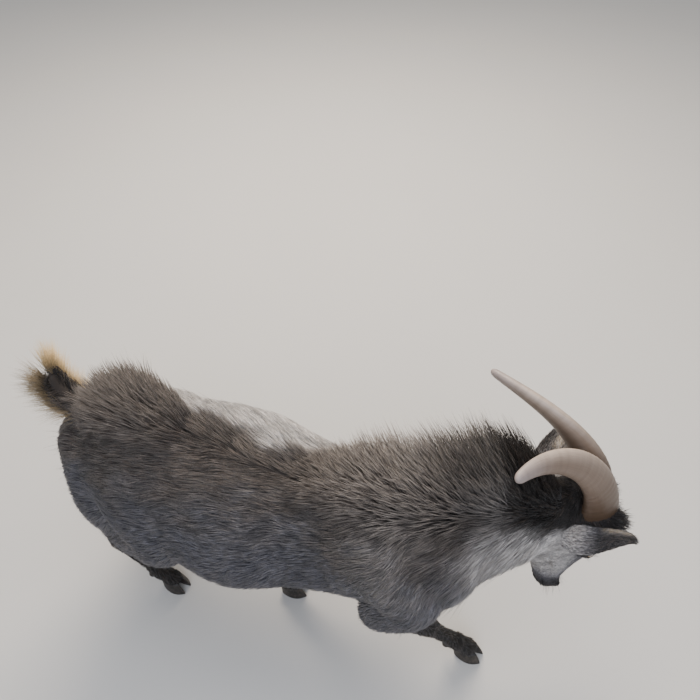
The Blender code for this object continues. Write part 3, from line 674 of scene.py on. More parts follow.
@dataclass(frozen=True)
class HairFinish(Finish):
    """Goat hair, grown in bands: dark at the root, made darker there by painted shade deep in the
    coat, paler at the tip, with a dull silky gloss.
    """

    roughness: float = 0.60
    agouti: str = "55514f"
    black: str = "1b1714"
    pale: str = "d3cec9"
    brown: str = "5b4a3b"
    blue: str = "68686f"
    cream: str = "d8bd8c"
    tip: str = "b9aea2"
    patch_mm: float = 16.0
    fleck_mm: float = 1.6
    skin: bool = False

    def build(self) -> Material:
        """The hair's material, or the skin's, which carries the same markings."""
        material, tree, shader = self.material(Specular_IOR_Level=0.35, Sheen_Weight=0.10,
                                               Sheen_Roughness=0.4)
        place = add_node(tree, "ShaderNodeTexCoord").outputs["Object"]
        marks, tuft = (add_node(tree, "ShaderNodeAttribute", {"attribute_name": name}).outputs
                       for name in ("marks", "tuft"))
        (black, pale, brown), (along, chance, paleness) = (
            add_node(tree, "ShaderNodeSeparateColor", None, {0: channels["Color"]}).outputs
            for channels in (marks, tuft))
        patch = noise(tree, place, 1000 / self.patch_mm, 3.0)
        fleck = noise(tree, place, 1000 / self.fleck_mm, 2.0)
        # The coat's ground colour, with warm and cold stretches
        colour = linear(self.agouti)
        warm = reshape(tree, patch, 0.35, 0.7, 0.0, 0.25)
        for share, tone in ((warm, self.brown), (brown, self.brown), (marks["Alpha"], self.blue),
                            (pale, self.pale)):
            colour = blend(tree, share, colour, linear(tone))
        # Each tuft is a little lighter or darker than the next
        shade = compute(tree, "MULTIPLY", reshape(tree, chance, 0.0, 1.0, 0.55, 1.45),
                        reshape(tree, fleck, 0.3, 0.7, 0.85, 1.15))
        # Darker toward the root: partly the hair's own bands, partly painted shade deep in the coat
        shade = compute(tree, "MULTIPLY", shade, reshape(tree, along, 0.0, 0.6, 0.50, 1.0))
        grey = add_node(tree, "ShaderNodeCombineColor", None, dict.fromkeys(range(3), shade))
        colour = blend(tree, 1.0, colour, grey.outputs[0], "MULTIPLY")
        tips = compute(tree, "MULTIPLY", reshape(tree, along, 0.30, 0.95), paleness)
        colour = blend(tree, tips, colour, linear(self.tip))
        # Black hair is browner in some tufts, and takes no pale tips
        coal = blend(tree, reshape(tree, chance, 0.4, 1.0, 0.0, 0.35), linear(self.black),
                     linear(self.brown))
        colour = blend(tree, black, colour, coal)
        colour = blend(tree, tuft["Alpha"], colour, linear(self.cream))
        tree.links.new(colour, shader.inputs["Base Color"])
        if self.skin:
            self.relief(tree, shader, fleck, 0.5, 0.0006)
        return material


@dataclass(frozen=True)
class HornFinish(Finish):
    """Horn keratin, grown in rings and worn smooth: browner low, paler at the tip, with a painted
    highlight along its outer curve.
    """

    roughness: float = 0.40
    low: str = "513f2f"
    middle: str = "7d6a5a"
    tip: str = "a1948f"
    # Colour of the painted highlight along the horn's outer curve
    painted_highlight: str = "d2bfad"
    groove: str = "574434"
    fibre_mm: float = 0.9
    ring_mm: float = 9.0
    girth_mm: float = 110.0
    index: float = 1.54

    def build(self) -> Material:
        """The horn's material, on a UV map that runs round it and along it."""
        material, tree, shader = self.material(IOR=self.index)
        run = add_node(tree, "ShaderNodeUVMap", {"uv_map": "grain"}).outputs[0]
        around, along, _ = add_node(tree, "ShaderNodeSeparateXYZ", None, {0: run}).outputs
        fibre = noise(tree, stretch(tree, run, self.girth_mm / self.fibre_mm, 9.0, 1.0), 1.0, 4.0)
        rings = HORN_LENGTH * 1000 / self.ring_mm
        ring = noise(tree, stretch(tree, run, 0.8, rings, 1.0), 1.0, 1.5)
        grown = reshape(tree, along, 0.05, 0.50)
        colour = blend(tree, grown, linear(self.low), linear(self.middle))
        # Painted highlight: the outer curve is made paler than the hollow of the sweep, as if light
        # falls on it
        off = compute(tree, "ABSOLUTE", compute(tree, "SUBTRACT", around, 0.75))
        outer = compute(tree, "MULTIPLY", reshape(tree, off, 0.30, 0.02, 0.0, 0.80),
                        reshape(tree, along, 0.22, 0.72))
        for share, tone in ((outer, self.painted_highlight),
                            (reshape(tree, along, 0.72, 1.0, 0.0, 0.8), self.tip),
                            (reshape(tree, fibre, 0.45, 0.75, 0.0, 0.30), self.groove),
                            (reshape(tree, ring, 0.42, 0.70, 0.0, 0.16), self.groove)):
            colour = blend(tree, share, colour, linear(tone))
        tree.links.new(colour, shader.inputs["Base Color"])
        self.relief(tree, shader, compute(tree, "ADD", fibre, ring), 0.40, 0.0005)
        return material


@dataclass(frozen=True)
class HoofFinish(Finish):
    """Hoof keratin, worn by the ground: nearly black, with scuffed grey edges and fine rings."""

    dark: str = "1e1a17"
    worn: str = "4b433b"
    ring_mm: float = 3.0

    def build(self) -> Material:
        """The hoof's material."""
        material, tree, shader = self.material()
        place = add_node(tree, "ShaderNodeTexCoord").outputs["Object"]
        scuff = noise(tree, place, 220.0, 5.0)
        ring = noise(tree, stretch(tree, place, 60.0, 60.0, 1000 / self.ring_mm), 1.0, 3.0)
        colour = blend(tree, reshape(tree, scuff, 0.45, 0.72), linear(self.dark), linear(self.worn))
        colour = blend(tree, reshape(tree, ring, 0.5, 0.7, 0.0, 0.4), colour, linear(self.worn))
        tree.links.new(colour, shader.inputs["Base Color"])
        self.relief(tree, shader, ring, 0.5, 0.0004)
        return material


@dataclass(frozen=True)
class EyeFinish(Finish):
    """A goat's wet eye: amber iris with a level slit pupil, under a clear gloss."""

    roughness: float = 0.12
    iris: str = "7c5826"
    inner: str = "a67c3e"
    rim: str = "2a1a0c"
    pupil: str = "050404"
    half_slit: tuple = (0.52, 0.21)
    iris_reach: float = 0.66

    def build(self) -> Material:
        """The eye's material, on a UV map of directions across the eye."""
        material, tree, shader = self.material(Coat_Weight=1.0, Coat_Roughness=0.03)
        face = add_node(tree, "ShaderNodeUVMap", {"uv_map": "gaze"}).outputs[0]
        centre = add_node(tree, "ShaderNodeMapping", None,
                          {"Vector": face, "Location": (-0.5, -0.5, 0.0)}).outputs[0]
        slim = stretch(tree, centre, 1 / self.half_slit[0], 1 / self.half_slit[1], 1.0)
        reach, slit = (add_node(tree, "ShaderNodeVectorMath", {"operation": "LENGTH"},
                                {0: vector}).outputs["Value"] for vector in (centre, slim))
        outward = add_node(tree, "ShaderNodeVectorMath", {"operation": "NORMALIZE"}, {0: centre})
        rays = noise(tree, outward.outputs[0], 26.0, 4.0)
        half = self.iris_reach / 2
        colour = linear(self.iris)
        for share, tone in ((reshape(tree, rays, 0.35, 0.65), self.inner),
                            (reshape(tree, reach, half * 0.75, half), self.rim),
                            (reshape(tree, slit, 0.58, 0.46), self.pupil)):
            colour = blend(tree, share, colour, linear(tone))
        tree.links.new(colour, shader.inputs["Base Color"])
        return material


@dataclass(frozen=True)
class FloorFinish(Finish):
    """Plain pale studio paint, matt, so that only soft shadows show."""

    roughness: float = 0.9
    tone: str = "d6d3cd"
    cloud: str = "bfbcb6"

    def build(self) -> Material:
        """The floor's material."""
        material, tree, shader = self.material()
        place = add_node(tree, "ShaderNodeTexCoord").outputs["Object"]
        share = reshape(tree, noise(tree, place, 3.0, 2.0), 0.3, 0.7, 0.0, 0.06)
        colour = blend(tree, share, linear(self.tone), linear(self.cloud))
        tree.links.new(colour, shader.inputs["Base Color"])
        return material


@dataclass
class Body:
    """The skin of the whole animal, inside its coat."""

    voxel: float = 0.0042
    head_voxel: float = 0.0017
    smoothing: int = 6

    def trunk(self) -> BMesh:
        """Trunk from the rump to the brisket."""
        tail = -TRUNK_LENGTH
        rows = [
            # x, sway to the left, height of the back, height of the belly, half width
            (tail - 0.004, 0.000, 0.408, 0.300, 0.050),
            (tail + 0.030, 0.000, 0.428, 0.250, 0.080),
            (-0.440, 0.000, 0.446, 0.215, 0.103),
            (-0.375, 0.000, CROUP_HEIGHT, 0.190, 0.118),
            (-0.300, 0.009, 0.438, 0.168, 0.138),
            (-0.220, 0.013, 0.423, BELLY_HEIGHT, BARREL_HALF_WIDTH),
            (-0.135, 0.018, BACK_HEIGHT, 0.167, 0.121),
            (-0.055, 0.012, 0.428, 0.186, 0.103),
            (0.010, 0.004, WITHERS_HEIGHT, BRISKET_HEIGHT, 0.092),
            (0.060, 0.004, 0.432, 0.210, 0.084),
            (0.100, 0.008, 0.405, 0.222, 0.070),
        ]
        out = []
        for x, sway, back, belly, half in rows:
            widest = belly + 0.46 * (back - belly)
            out.append((x, sway, widest, half - COAT_DEPTH, back - widest,
                        widest - belly - COAT_DEPTH))
        return tube(out, sides=48)

    def neck(self) -> BMesh:
        """Neck from inside the trunk to the back of the head."""
        return tube([
            (-0.040, 0.000, 0.332, 0.090, 0.104),
            (0.040, 0.012, 0.336, 0.084, 0.106),
            (0.100, 0.042, 0.345, 0.071, 0.097),
            (0.155, 0.076, 0.352, 0.062, 0.087),
            (0.205, 0.106, 0.354, 0.054, 0.075),
            (0.245, 0.124, 0.352, 0.043, 0.056),
        ])

    def pastern(self, fetlock: Vector, hoof: Vector) -> list:
        """Rows from the fetlock into the hoof."""
        foot = Vector((hoof.x, hoof.y, HOOF_HEIGHT)).lerp(fetlock, 0.12)
        inside = (hoof.x, hoof.y, HOOF_HEIGHT * 0.5, 0.013, 0.013)
        return stations(fetlock, foot, (0, 0.0150, 0.0165), (0.5, 0.0130, 0.0140),
                        (1, 0.0155, 0.0165)) + [inside]

    def foreleg(self, side: str) -> list:
        """Shoulder, forearm, knee, cannon and pastern of one foreleg."""
        out = SIDES[side]
        elbow, knee, fetlock, hoof = (Vector(p) for p in FORE[side])
        shoulder = Vector((0.062, out * 0.062, 0.290))
        blade = Vector((0.000, out * 0.062, 0.385))
        arm = stations(blade, shoulder, (0, 0.022, 0.040), (0.6, 0.034, 0.050), (1, 0.034, 0.044))
        arm += stations(shoulder, elbow, (0.55, 0.032, 0.042), (0.9, 0.028, 0.036))
        lower = stations(shoulder, elbow, (0.65, 0.028, 0.038), (1, 0.026, 0.034))
        lower += stations(elbow, knee, (0.35, 0.021, 0.026), (0.75, 0.0155, 0.018),
                          (1, 0.0170, 0.0185))
        lower += stations(knee, fetlock, (0.22, 0.0130, 0.0145), (0.7, 0.0115, 0.0130))
        return [tube(arm), tube(lower + self.pastern(fetlock, hoof))]

    def hind_leg(self, side: str) -> list:
        """Thigh, gaskin, hock, cannon and pastern of one hind leg."""
        out = SIDES[side]
        stifle, hock, fetlock, hoof = (Vector(p) for p in HIND[side])
        hip = Vector((-0.395, out * 0.058, 0.375))
        pin = Vector((-0.495, out * 0.040, 0.385))
        thigh = stations(hip, stifle, (0, 0.045, 0.072), (0.4, 0.047, 0.078), (0.8, 0.037, 0.064),
                         (1, 0.029, 0.046))
        ham = stations(pin, hock, (0, 0.026, 0.034), (0.35, 0.036, 0.044), (0.62, 0.033, 0.046),
                       (0.86, 0.016, 0.020))
        shank = stations(hip, stifle, (0.8, 0.032, 0.054))
        shank += stations(stifle, hock, (0.15, 0.030, 0.046), (0.55, 0.021, 0.029),
                          (0.86, 0.0150, 0.0205), (1, 0.0155, 0.0205))
        shank += stations(hock, fetlock, (0.2, 0.0130, 0.0165), (0.7, 0.0115, 0.0135))
        heel = hock + Vector((-0.012, 0, 0.012))
        tendon = stations(heel, pin, (0.20, 0.009, 0.012), (0, 0.0095, 0.0125))
        tendon += stations(hock, fetlock, (0.25, 0.009, 0.012))
        return [tube(thigh), tube(ham), tube(shank + self.pastern(fetlock, hoof)), tube(tendon)]

    def build(self) -> Object:
        """The skin in one mesh: a coarse body with the fine head joined to it."""
        meshes = [self.trunk(), self.neck(), tube(TAIL, sides=16)]
        for side in SIDES:
            meshes += self.foreleg(side) + self.hind_leg(side)
        skull = Head().skull()
        skull.transform(HEAD_FRAME)
        skin = fuse("skin", [*meshes, skull], self.voxel, self.smoothing)
        boolean(skin, Head().build(self.head_voxel), "UNION")
        # The skin lies under the short coat, by its depth
        points = read_vectors(skin.data)
        points -= read_vectors(skin.data, "normal").astype(np.float32) * SHORT_COAT
        skin.data.vertices.foreach_set("co", points.astype(np.float32).ravel())
        skin.data.update()
        return skin


@dataclass
class Head:
    """Skull, cheeks, brows, lids, muzzle and mouth, in the head's own frame."""

    smoothing: int = 3

    def skull(self) -> BMesh:
        """The head's main form, from its rows."""
        return tube([((front + back) / 2, 0, z, half, (front - back) / 2)
                     for z, front, back, half in HEAD_ROWS], sides=48)

    def eye_frame(self, out: int) -> Matrix:
        """Eye's slit, height and outward axes as columns, at its centre."""
        outward = Vector((0.35, out * 0.93, 0.08)).normalized()
        slit = Vector((0.5, 0, -0.866))
        slit = (slit - outward * outward.dot(slit)).normalized()
        frame = Matrix((slit, outward.cross(slit), outward)).transposed().to_4x4()
        frame.translation = mirrored(EYE_PLACE, out)
        return frame

    def forms(self, out: int) -> list:
        """Cheek, brow, lip, nostril wing, eye socket and ear root of one side."""
        lid = []
        for turn in (2 * math.pi * k / 18 for k in range(19)):
            spot = Vector((0.0122 * math.cos(turn), 0.0086 * math.sin(turn), 0.0074))
            lid.append((*spot, 0.0022, 0.0026))
        lids = tube(lid, hint=(0, 0, 1), sides=10, steps=1)
        lids.transform(self.eye_frame(out))
        return [
            ball((-0.074, out * 0.021, -0.068), (0.031, 0.0180, 0.044), (0, 16, 0)),
            ball((-0.006, out * 0.027, -0.050), (0.019, 0.0150, 0.020)),
            ball((-0.019, out * 0.025, -0.005), (0.035, 0.0235, 0.018)),
            ball((-0.0370, out * 0.0105, -0.1815), (0.0098, 0.0090, 0.0108)),
            ball((-0.0320, out * 0.0130, -0.1845), (0.0062, 0.0050, 0.0070), (0, 30, out * 25)),
            ball((-0.0530, out * 0.0155, -0.1710), (0.0115, 0.0080, 0.0180)),
            ball((-0.0460, out * 0.0315, -0.0930), (0.0140, 0.0080, 0.0300), (0, 14, 0)),
            ball(mirrored(EYE_PLACE, out), [EYE_RADIUS * 1.20] * 3),
            ball((-0.066, out * 0.034, -0.010), (0.020, 0.014, 0.020)),
            lids,
        ]

    def cutters(self, out: int, tree: BVHTree) -> list:
        """Opening between the lids, nostril, and one half of the mouth's line."""
        opening = ball((0, 0, 0.0115), (0.0106, 0.0060, 0.0105), detail=3)
        opening.transform(self.eye_frame(out))
        nostril = ball(mirrored(NOSTRIL, out), (0.0066, 0.0034, 0.0034), (0, 35, out * 34), 3)
        slot = ball((-0.0262, out * 0.0172, -0.1845), (0.0060, 0.0016, 0.0022),
                    (0, 60, out * 20), 3)
        line = []
        for x, y, z in ((-0.0520, 0.000, -0.198), (-0.0535, 0.011, -0.193),
                        (-0.0565, 0.018, -0.182), (-0.0605, 0.021, -0.166),
                        (-0.0655, 0.022, -0.149), (-0.0700, 0.0245, -0.135)):
            near = tree.find_nearest(Vector((x, out * y, z)))[0]
            line.append((*near, 0.0012, 0.0016))
        line[0] = (line[0][0], -out * 0.002, *line[0][2:])
        groove = tube([(-0.036, 0, -0.1945, 0.0008, 0.0012), (-0.049, 0, -0.1965, 0.0008, 0.0012)],
                      sides=8, steps=4)
        return [opening, nostril, slot, tube(line, hint=(1, 0, 0), sides=8), groove]

    def build(self, voxel: float) -> Object:
        """The head's skin, in the animal's frame.

        Args:
            voxel: size of its faces.

        Returns:
            The head as one closed mesh.
        """
        meshes = [self.skull(), ball((-0.046, 0, -0.1765), (0.0203, 0.0222, 0.0197)),
                  ball((-0.060, 0, -0.1725), (0.0116, 0.0138, 0.0158))]
        for out in SIDES.values():
            meshes += self.forms(out)
        head = fuse("head_skin", meshes, voxel, self.smoothing)
        tree = surface(head.data)
        for out in SIDES.values():
            for tool in self.cutters(out, tree):
                boolean(head, add("tool", tool))
        head.data.transform(HEAD_FRAME)
        return head


@dataclass
class Markings:
    """Where the coat is black, pale, brown or bluish, the same for skin and hair; the pale share
    also holds painted light on the far side of the body.
    """

    spine: Array = field(default_factory=lambda: smooth_rows([row[0] for row in CREST], 6))

    def head_places(self, points: Array) -> Array:
        """Points in the head's own frame."""
        inverse = np.array(HEAD_FRAME.inverted())
        return points @ inverse[:3, :3].T + inverse[:3, 3]

    def weights(self, points: Array) -> Array:
        """Shares of black, pale, brown and bluish hair, with painted light in the pale share on the
        far side.

        Args:
            points: places in the animal's frame.

        Returns:
            Four columns of 0 to 1.
        """
        x, y, z = points.T
        head = self.head_places(points)
        hx, hy, hz = head.T
        aside = np.abs(hy)
        on_head = smoothstep(0.012, -0.004, -(head - np.array(NAPE)) @ np.array(NAPE_NORMAL))
        on_head *= smoothstep(0.12, 0.09, aside) * smoothstep(0.12, 0.16, z)
        rough = waves(points, 0.06, Seed.MARKINGS)
        gap = polyline(points, self.spine)[0]
        run = neck_run(points)
        legs = smoothstep(0.200, 0.150, z + 0.012 * rough)
        muzzle = smoothstep(-0.145, -0.180, hz) * on_head
        poll = smoothstep(0.062, 0.046, aside) * smoothstep(-0.016, 0.004, hz)
        fore = smoothstep(0.044, 0.034, aside) * smoothstep(-0.046, -0.026, hz)
        poll = np.maximum(poll * smoothstep(-0.16, -0.11, hx), fore * smoothstep(-0.03, -0.01, hx))
        poll = poll * smoothstep(0.10, 0.15, run)
        stripe = smoothstep(0.034, 0.010, gap + 0.006 * rough) * (1 - 0.4 * hump((x, 0.01, 0.09)))
        nape = smoothstep(0.395, 0.435, z + 0.010 * rough) * smoothstep(0.04, 0.12, run)
        nape = nape * (1 - on_head)
        dock = smoothstep(-0.500, -0.525, x) * smoothstep(0.385, 0.415, z)
        folded = head * (1, 0, 1) + np.abs(head) * (0, 1, 0)
        rim = smoothstep(0.0195, 0.0135, np.linalg.norm(folded - np.array(EYE_PLACE), axis=1))
        black = (legs + 0.8 * muzzle + 0.95 * poll + 0.40 * stripe + 0.42 * nape + 0.65 * dock
                 + 0.95 * rim)
        cheek = (smoothstep(-0.005, -0.050, hx) * smoothstep(-0.170, -0.125, hz)
                 * smoothstep(0.030, 0.0, hz))
        blaze = hump((hy, 0, 0.012), (hx, 0.010, 0.02)) * on_head * 0.25
        collar = (smoothstep(0.060, 0.135, run + 0.012 * rough)
                  * smoothstep(0.430, 0.392, z + 0.008 * rough))
        # Painted light: the upper far side of the body is made pale as if lit from beyond the
        # animal, most on the flank
        far = smoothstep(0.022, 0.054, y + 0.010 * rough) * smoothstep(0.24, 0.36, z)
        far = far * (1 - on_head)
        far *= 0.35 + 0.65 * smoothstep(-0.44, -0.35, x) * smoothstep(-0.06, -0.14, x)
        arm = hump((x, 0.035, 0.055), (z, 0.36, 0.09)) * (1 - far)
        pale = 0.90 * cheek * on_head + blaze + 0.66 * collar * (1 - on_head) + far
        pale = np.clip(pale + 0.16 * arm, 0, 1) * (1 - legs) * (1 - rim)
        blue = np.clip(0.85 * smoothstep(0.42, 0.33, z + 0.015 * rough), 0, 1)
        blue = np.maximum(blue, 0.65 * on_head * (1 - 0.5 * muzzle))
        brown = 0.40 * (smoothstep(0.33, 0.43, z + 0.02 * rough) * (1 - on_head))
        return np.stack([np.clip(black, 0, 1), pale, brown * (1 - blue), blue], axis=1)


@dataclass
class Tufts:
    """Tufts of hair as one mesh: each is a closed, flat, tapered and bent blade."""

    roots: Array
    normals: Array
    lines: list
    widths: Array
    places: Array
    marks: Array
    chance: Array
    paleness: Array
    cream: Array

    def blade(self) -> tuple:
        """Corners of every tuft, ring by ring and then the tip.

        Returns:
            Corners N by V by 3, shares along the tuft by V, and shares across it by V.
        """
        stops = [self.roots] + self.lines
        rings, along, across = [], [], []
        count = len(stops) - 1
        profile = [0.62, 1.0, 0.72] if count == 3 else [0.7, 0.9]
        for k in range(count):
            run = unit(stops[k + 1] - stops[max(k - 1, 0)])
            side = unit(np.cross(run, self.normals))
            top = np.cross(side, run)
            width = (self.widths * profile[k])[:, None]
            rings += [stops[k] - side * width / 2, stops[k] + top * width * 0.38,
                      stops[k] + side * width / 2]
            along += [k / count] * 3
            across += [0.0, 0.5, 1.0]
        corners = np.stack(rings + [stops[-1]], axis=1)
        return corners, np.array(along + [1.0]), np.array(across + [0.5])

    def faces(self, corners: int) -> Array:
        """Triangles of one tuft: its sides, its tip and its root."""
        out = []
        for ring in range(0, corners - 4, 3):
            for j in range(3):
                a, b = ring + j, ring + (j + 1) % 3
                out += [(a, b, b + 3), (a, b + 3, a + 3)]
        last = corners - 4
        out += [(last + j, last + (j + 1) % 3, corners - 1) for j in range(3)]
        return np.array(out + [(0, 2, 1)])

    def build(self, name: str) -> Object:
        """The tufts as one object.

        Args:
            name: its name.

        Returns:
            The object, with its attributes and its map for the coat's colours.
        """
        corners, along, across = self.blade()
        total, each = corners.shape[:2]
        single = self.faces(each)
        faces = (single[None] + (np.arange(total) * each)[:, None, None]).reshape(-1, 3)
        if len(faces) > MOST_TRIANGLES:
            raise ValueError("%s has %d triangles" % (name, len(faces)))
        data = bpy.data.meshes.new(name)
        data.vertices.add(total * each)
        data.vertices.foreach_set("co", corners.astype(np.float32).ravel())
        data.loops.add(faces.size)
        data.loops.foreach_set("vertex_index", faces.astype(np.int32).ravel())
        data.polygons.add(len(faces))
        data.polygons.foreach_set("loop_start", np.arange(0, faces.size, 3, dtype=np.int32))
        data.update(calc_edges=True)
        strands = [np.tile(along, total)]
        strands += [np.repeat(values, each) for values in (self.chance, self.paleness, self.cream)]
        patch = np.stack([across - 0.5, along - 0.5], axis=1)[None] * PATCH
        spots = self.places[:, None, :] + patch
        write_hair(data, np.repeat(self.marks, each, axis=0), np.stack(strands, axis=1),
                   spots.reshape(-1, 2))
        return link(name, data)


@dataclass
class Coat:
    """The hair of the skin: how long it is, how it lies, and where it stands up.

    Attributes:
        skin: the skin that it grows on.
        site: where the animal stands.
        marks: its markings.
        finish: the hair's material.
        count: tufts to grow.
        lying_locks: share of the lying tufts that lead a lock.
        raised_locks: share of the raised tufts that lead one.
        tree: the skin's search tree.
    """

    skin: Object
    site: Site
    marks: Markings
    finish: Material
    count: int = 127_000
    lying_locks: float = 0.07
    raised_locks: float = 0.04
    tree: BVHTree | None = None

    def sample(self, count: int, seed: int) -> tuple:
        """Roots spread over the skin, denser where the hair is shorter.

        Args:
            count: how many.
            seed: which draw.

        Returns:
            Places and normals.
        """
        draw = np.random.default_rng(seed)
        data = self.skin.data
        data.calc_loop_triangles()
        corners = np.empty(len(data.loop_triangles) * 3, np.int32)
        data.loop_triangles.foreach_get("vertices", corners)
        corners = corners.reshape(-1, 3)
        points, normals = read_vectors(data), read_vectors(data, "normal")
        a, b, c = (points[corners[:, k]] for k in range(3))
        area = np.linalg.norm(np.cross(b - a, c - a), axis=1) / 2
        weight = area * self.density((a + b + c) / 3)
        pick = draw.choice(len(corners), count, p=weight / weight.sum())
        u, v = draw.random(count), draw.random(count)
        fold = u + v > 1
        u[fold], v[fold] = 1 - u[fold], 1 - v[fold]
        shares = np.stack([1 - u - v, u, v], axis=1)
        spots, facing = (np.einsum("nk,nkd->nd", shares, rows[corners[pick]])
                         for rows in (points, normals))
        return spots, unit(facing)

    def regions(self, points: Array) -> Array:
        """Region of each point, as a value of Region."""
        out = np.full(len(points), Region.TRUNK.value)
        x, _, z = points.T
        out[(neck_run(points) > 0.045) & (z > 0.20)] = Region.NECK.value
        head = self.marks.head_places(points)
        ahead = (head - np.array(NAPE)) @ np.array(NAPE_NORMAL) > 0
        ahead &= (np.abs(head[:, 1]) < 0.10) & (head[:, 0] > -0.13) & (z > 0.15)
        out[ahead] = Region.HEAD.value
        for (table, region), reach, top in zip(LEGS, (0.050, 0.055), (0.170, 0.185)):
            for joints in table.values():
                gap = polyline(points, np.array(joints))[0]
                out[(gap < reach) & (z < top)] = region.value
        out[(x < -0.508) & (z > 0.405)] = Region.TAIL.value
        return out

    def erect(self, points: Array) -> tuple:
        """How far the hair stands up along the spine, with its way and length there.

        Args:
            points: places on the skin.

        Returns:
            Share from 0, lying, to 1, upright; the upright way; and the upright length.
        """
        rows = smooth_rows([(*base, *lean, height) for base, lean, height in CREST], 6)
        gap, span, share, run = polyline(points, rows[:, :3])
        near = rows[span] + (rows[span + 1] - rows[span]) * share[:, None]
        lift = smoothstep(0.046, 0.010, gap) * smoothstep(0.034, 0.060, near[:, 6])
        side = unit(np.cross(run, unit(near[:, 3:6])))
        off = np.einsum("nd,nd->n", points - near[:, :3], side)
        way = unit(unit(near[:, 3:6]) + side * (off / 0.05)[:, None])
        ends = (near[:, 0] < rows[0, 0] + 0.004) | (near[:, 0] > rows[-1, 0] - 0.002)
        lift = np.where(ends, lift * 0.5, lift)
        return lift, way, near[:, 6]

    def length(self, points: Array, regions: Array) -> Array:
        """Length of lying hair at each point."""
        x, _, z = points.T
        head = self.marks.head_places(points)
        least = {kind: growth.length for kind, growth in GROWTH.items()}
        trunk = least[Region.TRUNK] + 0.013 * smoothstep(0.34, 0.42, z)
        trunk = trunk - 0.006 * smoothstep(0.22, 0.16, z)
        trunk = trunk + 0.012 * hump((x, 0.04, 0.06), (z, 0.39, 0.06))
        neck = least[Region.NECK] - 0.020 * smoothstep(0.15, 0.21, neck_run(points))
        beard = 0.018 * smoothstep(-0.050, -0.085, head[:, 0])
        beard = beard * smoothstep(-0.12, -0.06, head[:, 2])
        face = least[Region.HEAD] + beard - 0.003 * smoothstep(-0.13, -0.17, head[:, 2])
        face = face + 0.036 * self.poll(head)
        legs = least[Region.FORELEG] + 0.009 * smoothstep(0.13, 0.18, z)
        tail = np.full(len(points), least[Region.TAIL])
        return np.choose(regions, [trunk, neck, face, tail, legs, legs])

    def poll(self, head: Array) -> Array:
        """How much of the black hair round the horns' bases stands at places of the head."""
        off = (head - (-0.014, 0, 0.002)) / (1, 1.1, 1)
        return smoothstep(0.058, 0.034, np.linalg.norm(off, axis=1))

    def density(self, points: Array) -> Array:
        """How many roots a patch takes, next to others."""
        return by_region("density", self.regions(points)) + 1.9 * self.erect(points)[0]

    def lie(self, points: Array, normals: Array, regions: Array) -> Array:
        """Way the hair lies on the skin, as unit vectors in it.

        Args:
            points: places on the skin.
            normals: the way the skin faces there.
            regions: region of each.

        Returns:
            Unit vectors.
        """
        x, y, z = points.T
        head = self.marks.head_places(points)
        down = 0.10 + 0.85 * smoothstep(0.36, 0.20, z) + 1.20 * hump((x, 0.045, 0.075))
        down = down + 1.1 * smoothstep(-0.46, -0.53, x)
        trunk = np.stack([-np.ones(len(x)), 0.0 * x, -down], axis=1)
        trunk[:, 1] += np.sign(y) * 0.25 * smoothstep(0.36, 0.43, z)
        fall = 0.35 + 0.9 * smoothstep(0.42, 0.30, z)
        neck = np.stack([0 * x, 0 * x, -fall], axis=1) - np.array(NECK_RUN)
        flow = mixed(unit(trunk), unit(neck), smoothstep(0.02, 0.09, neck_run(points)))
        # On the face the hair runs back over the cheeks and down the sides of the muzzle
        turn = np.array(HEAD_FRAME.to_3x3())
        out = np.sign(head[:, 1])
        face = np.stack([-0.55 - 0.4 * smoothstep(-0.02, -0.06, head[:, 0]), 0.30 * out,
                         0.55 - 0.9 * smoothstep(0.0, -0.07, head[:, 0])], axis=1)
        parting = 0.35 * out * np.minimum(1, np.abs(head[:, 1]) / 0.02)
        fore = np.stack([0.55 + 0 * x, parting, -0.80 + 0 * x], axis=1)
        on_head = within(regions, Region.HEAD)
        flow[on_head] = (mixed(face, fore, self.poll(head)) @ turn.T)[on_head]
        for table, region in LEGS:
            lines = [np.array(joints) for joints in table.values()]
            gaps = np.stack([polyline(points, line)[0] for line in lines])
            runs = np.stack([polyline(points, line)[3] for line in lines])
            nearest = runs[gaps.argmin(axis=0), np.arange(len(points))]
            here = within(regions, region)
            flow[here] = (nearest + (-0.25, 0, -0.1))[here]
        on_tail = within(regions, Region.TAIL)
        flow[on_tail] = np.stack([-0.45 + 0 * x, np.sign(y) * 0.7, 0.55 + 0 * x], axis=1)[on_tail]
        flow = unit(flow)
        across = np.cross(normals, flow)
        swirl = 0.20 * waves(points, 0.055, Seed.SWIRLS) + 0.10 * waves(points, 0.018, Seed.RIPPLES)
        flow = flow + across * swirl[:, None]
        flow -= normals * np.einsum("nd,nd->n", flow, normals)[:, None]
        return unit(flow)

    def gather(self, points: Array, tips: Array, keep: float, seed: int) -> tuple:
        """Tips drawn together into small locks.

        Args:
            points: the roots.
            tips: the tips.
            keep: share of the roots that lead a lock.
            seed: which leaders.

        Returns:
            For each tuft, its leader's tip, moved by part of the distance of their roots, and
            the leader.
        """
        draw = np.random.default_rng(seed)
        leaders = draw.choice(len(points), max(1, int(len(points) * keep)), replace=False)
        table = KDTree(len(leaders))
        for k, at in enumerate(leaders):
            table.insert(points[at], k)
        table.balance()
        near = np.array([leaders[table.find(point)[1]] for point in points])
        return tips[near] + (points - points[near]) * 0.45, near

    def on_skin(self, points: Array) -> tuple:
        """Nearest places of the skin, and the way it faces there."""
        spots = np.empty_like(points)
        faces = np.empty_like(points)
        for k, point in enumerate(points):
            spot, face = self.tree.find_nearest(point)[:2]
            spots[k], faces[k] = spot, face
        return spots, faces

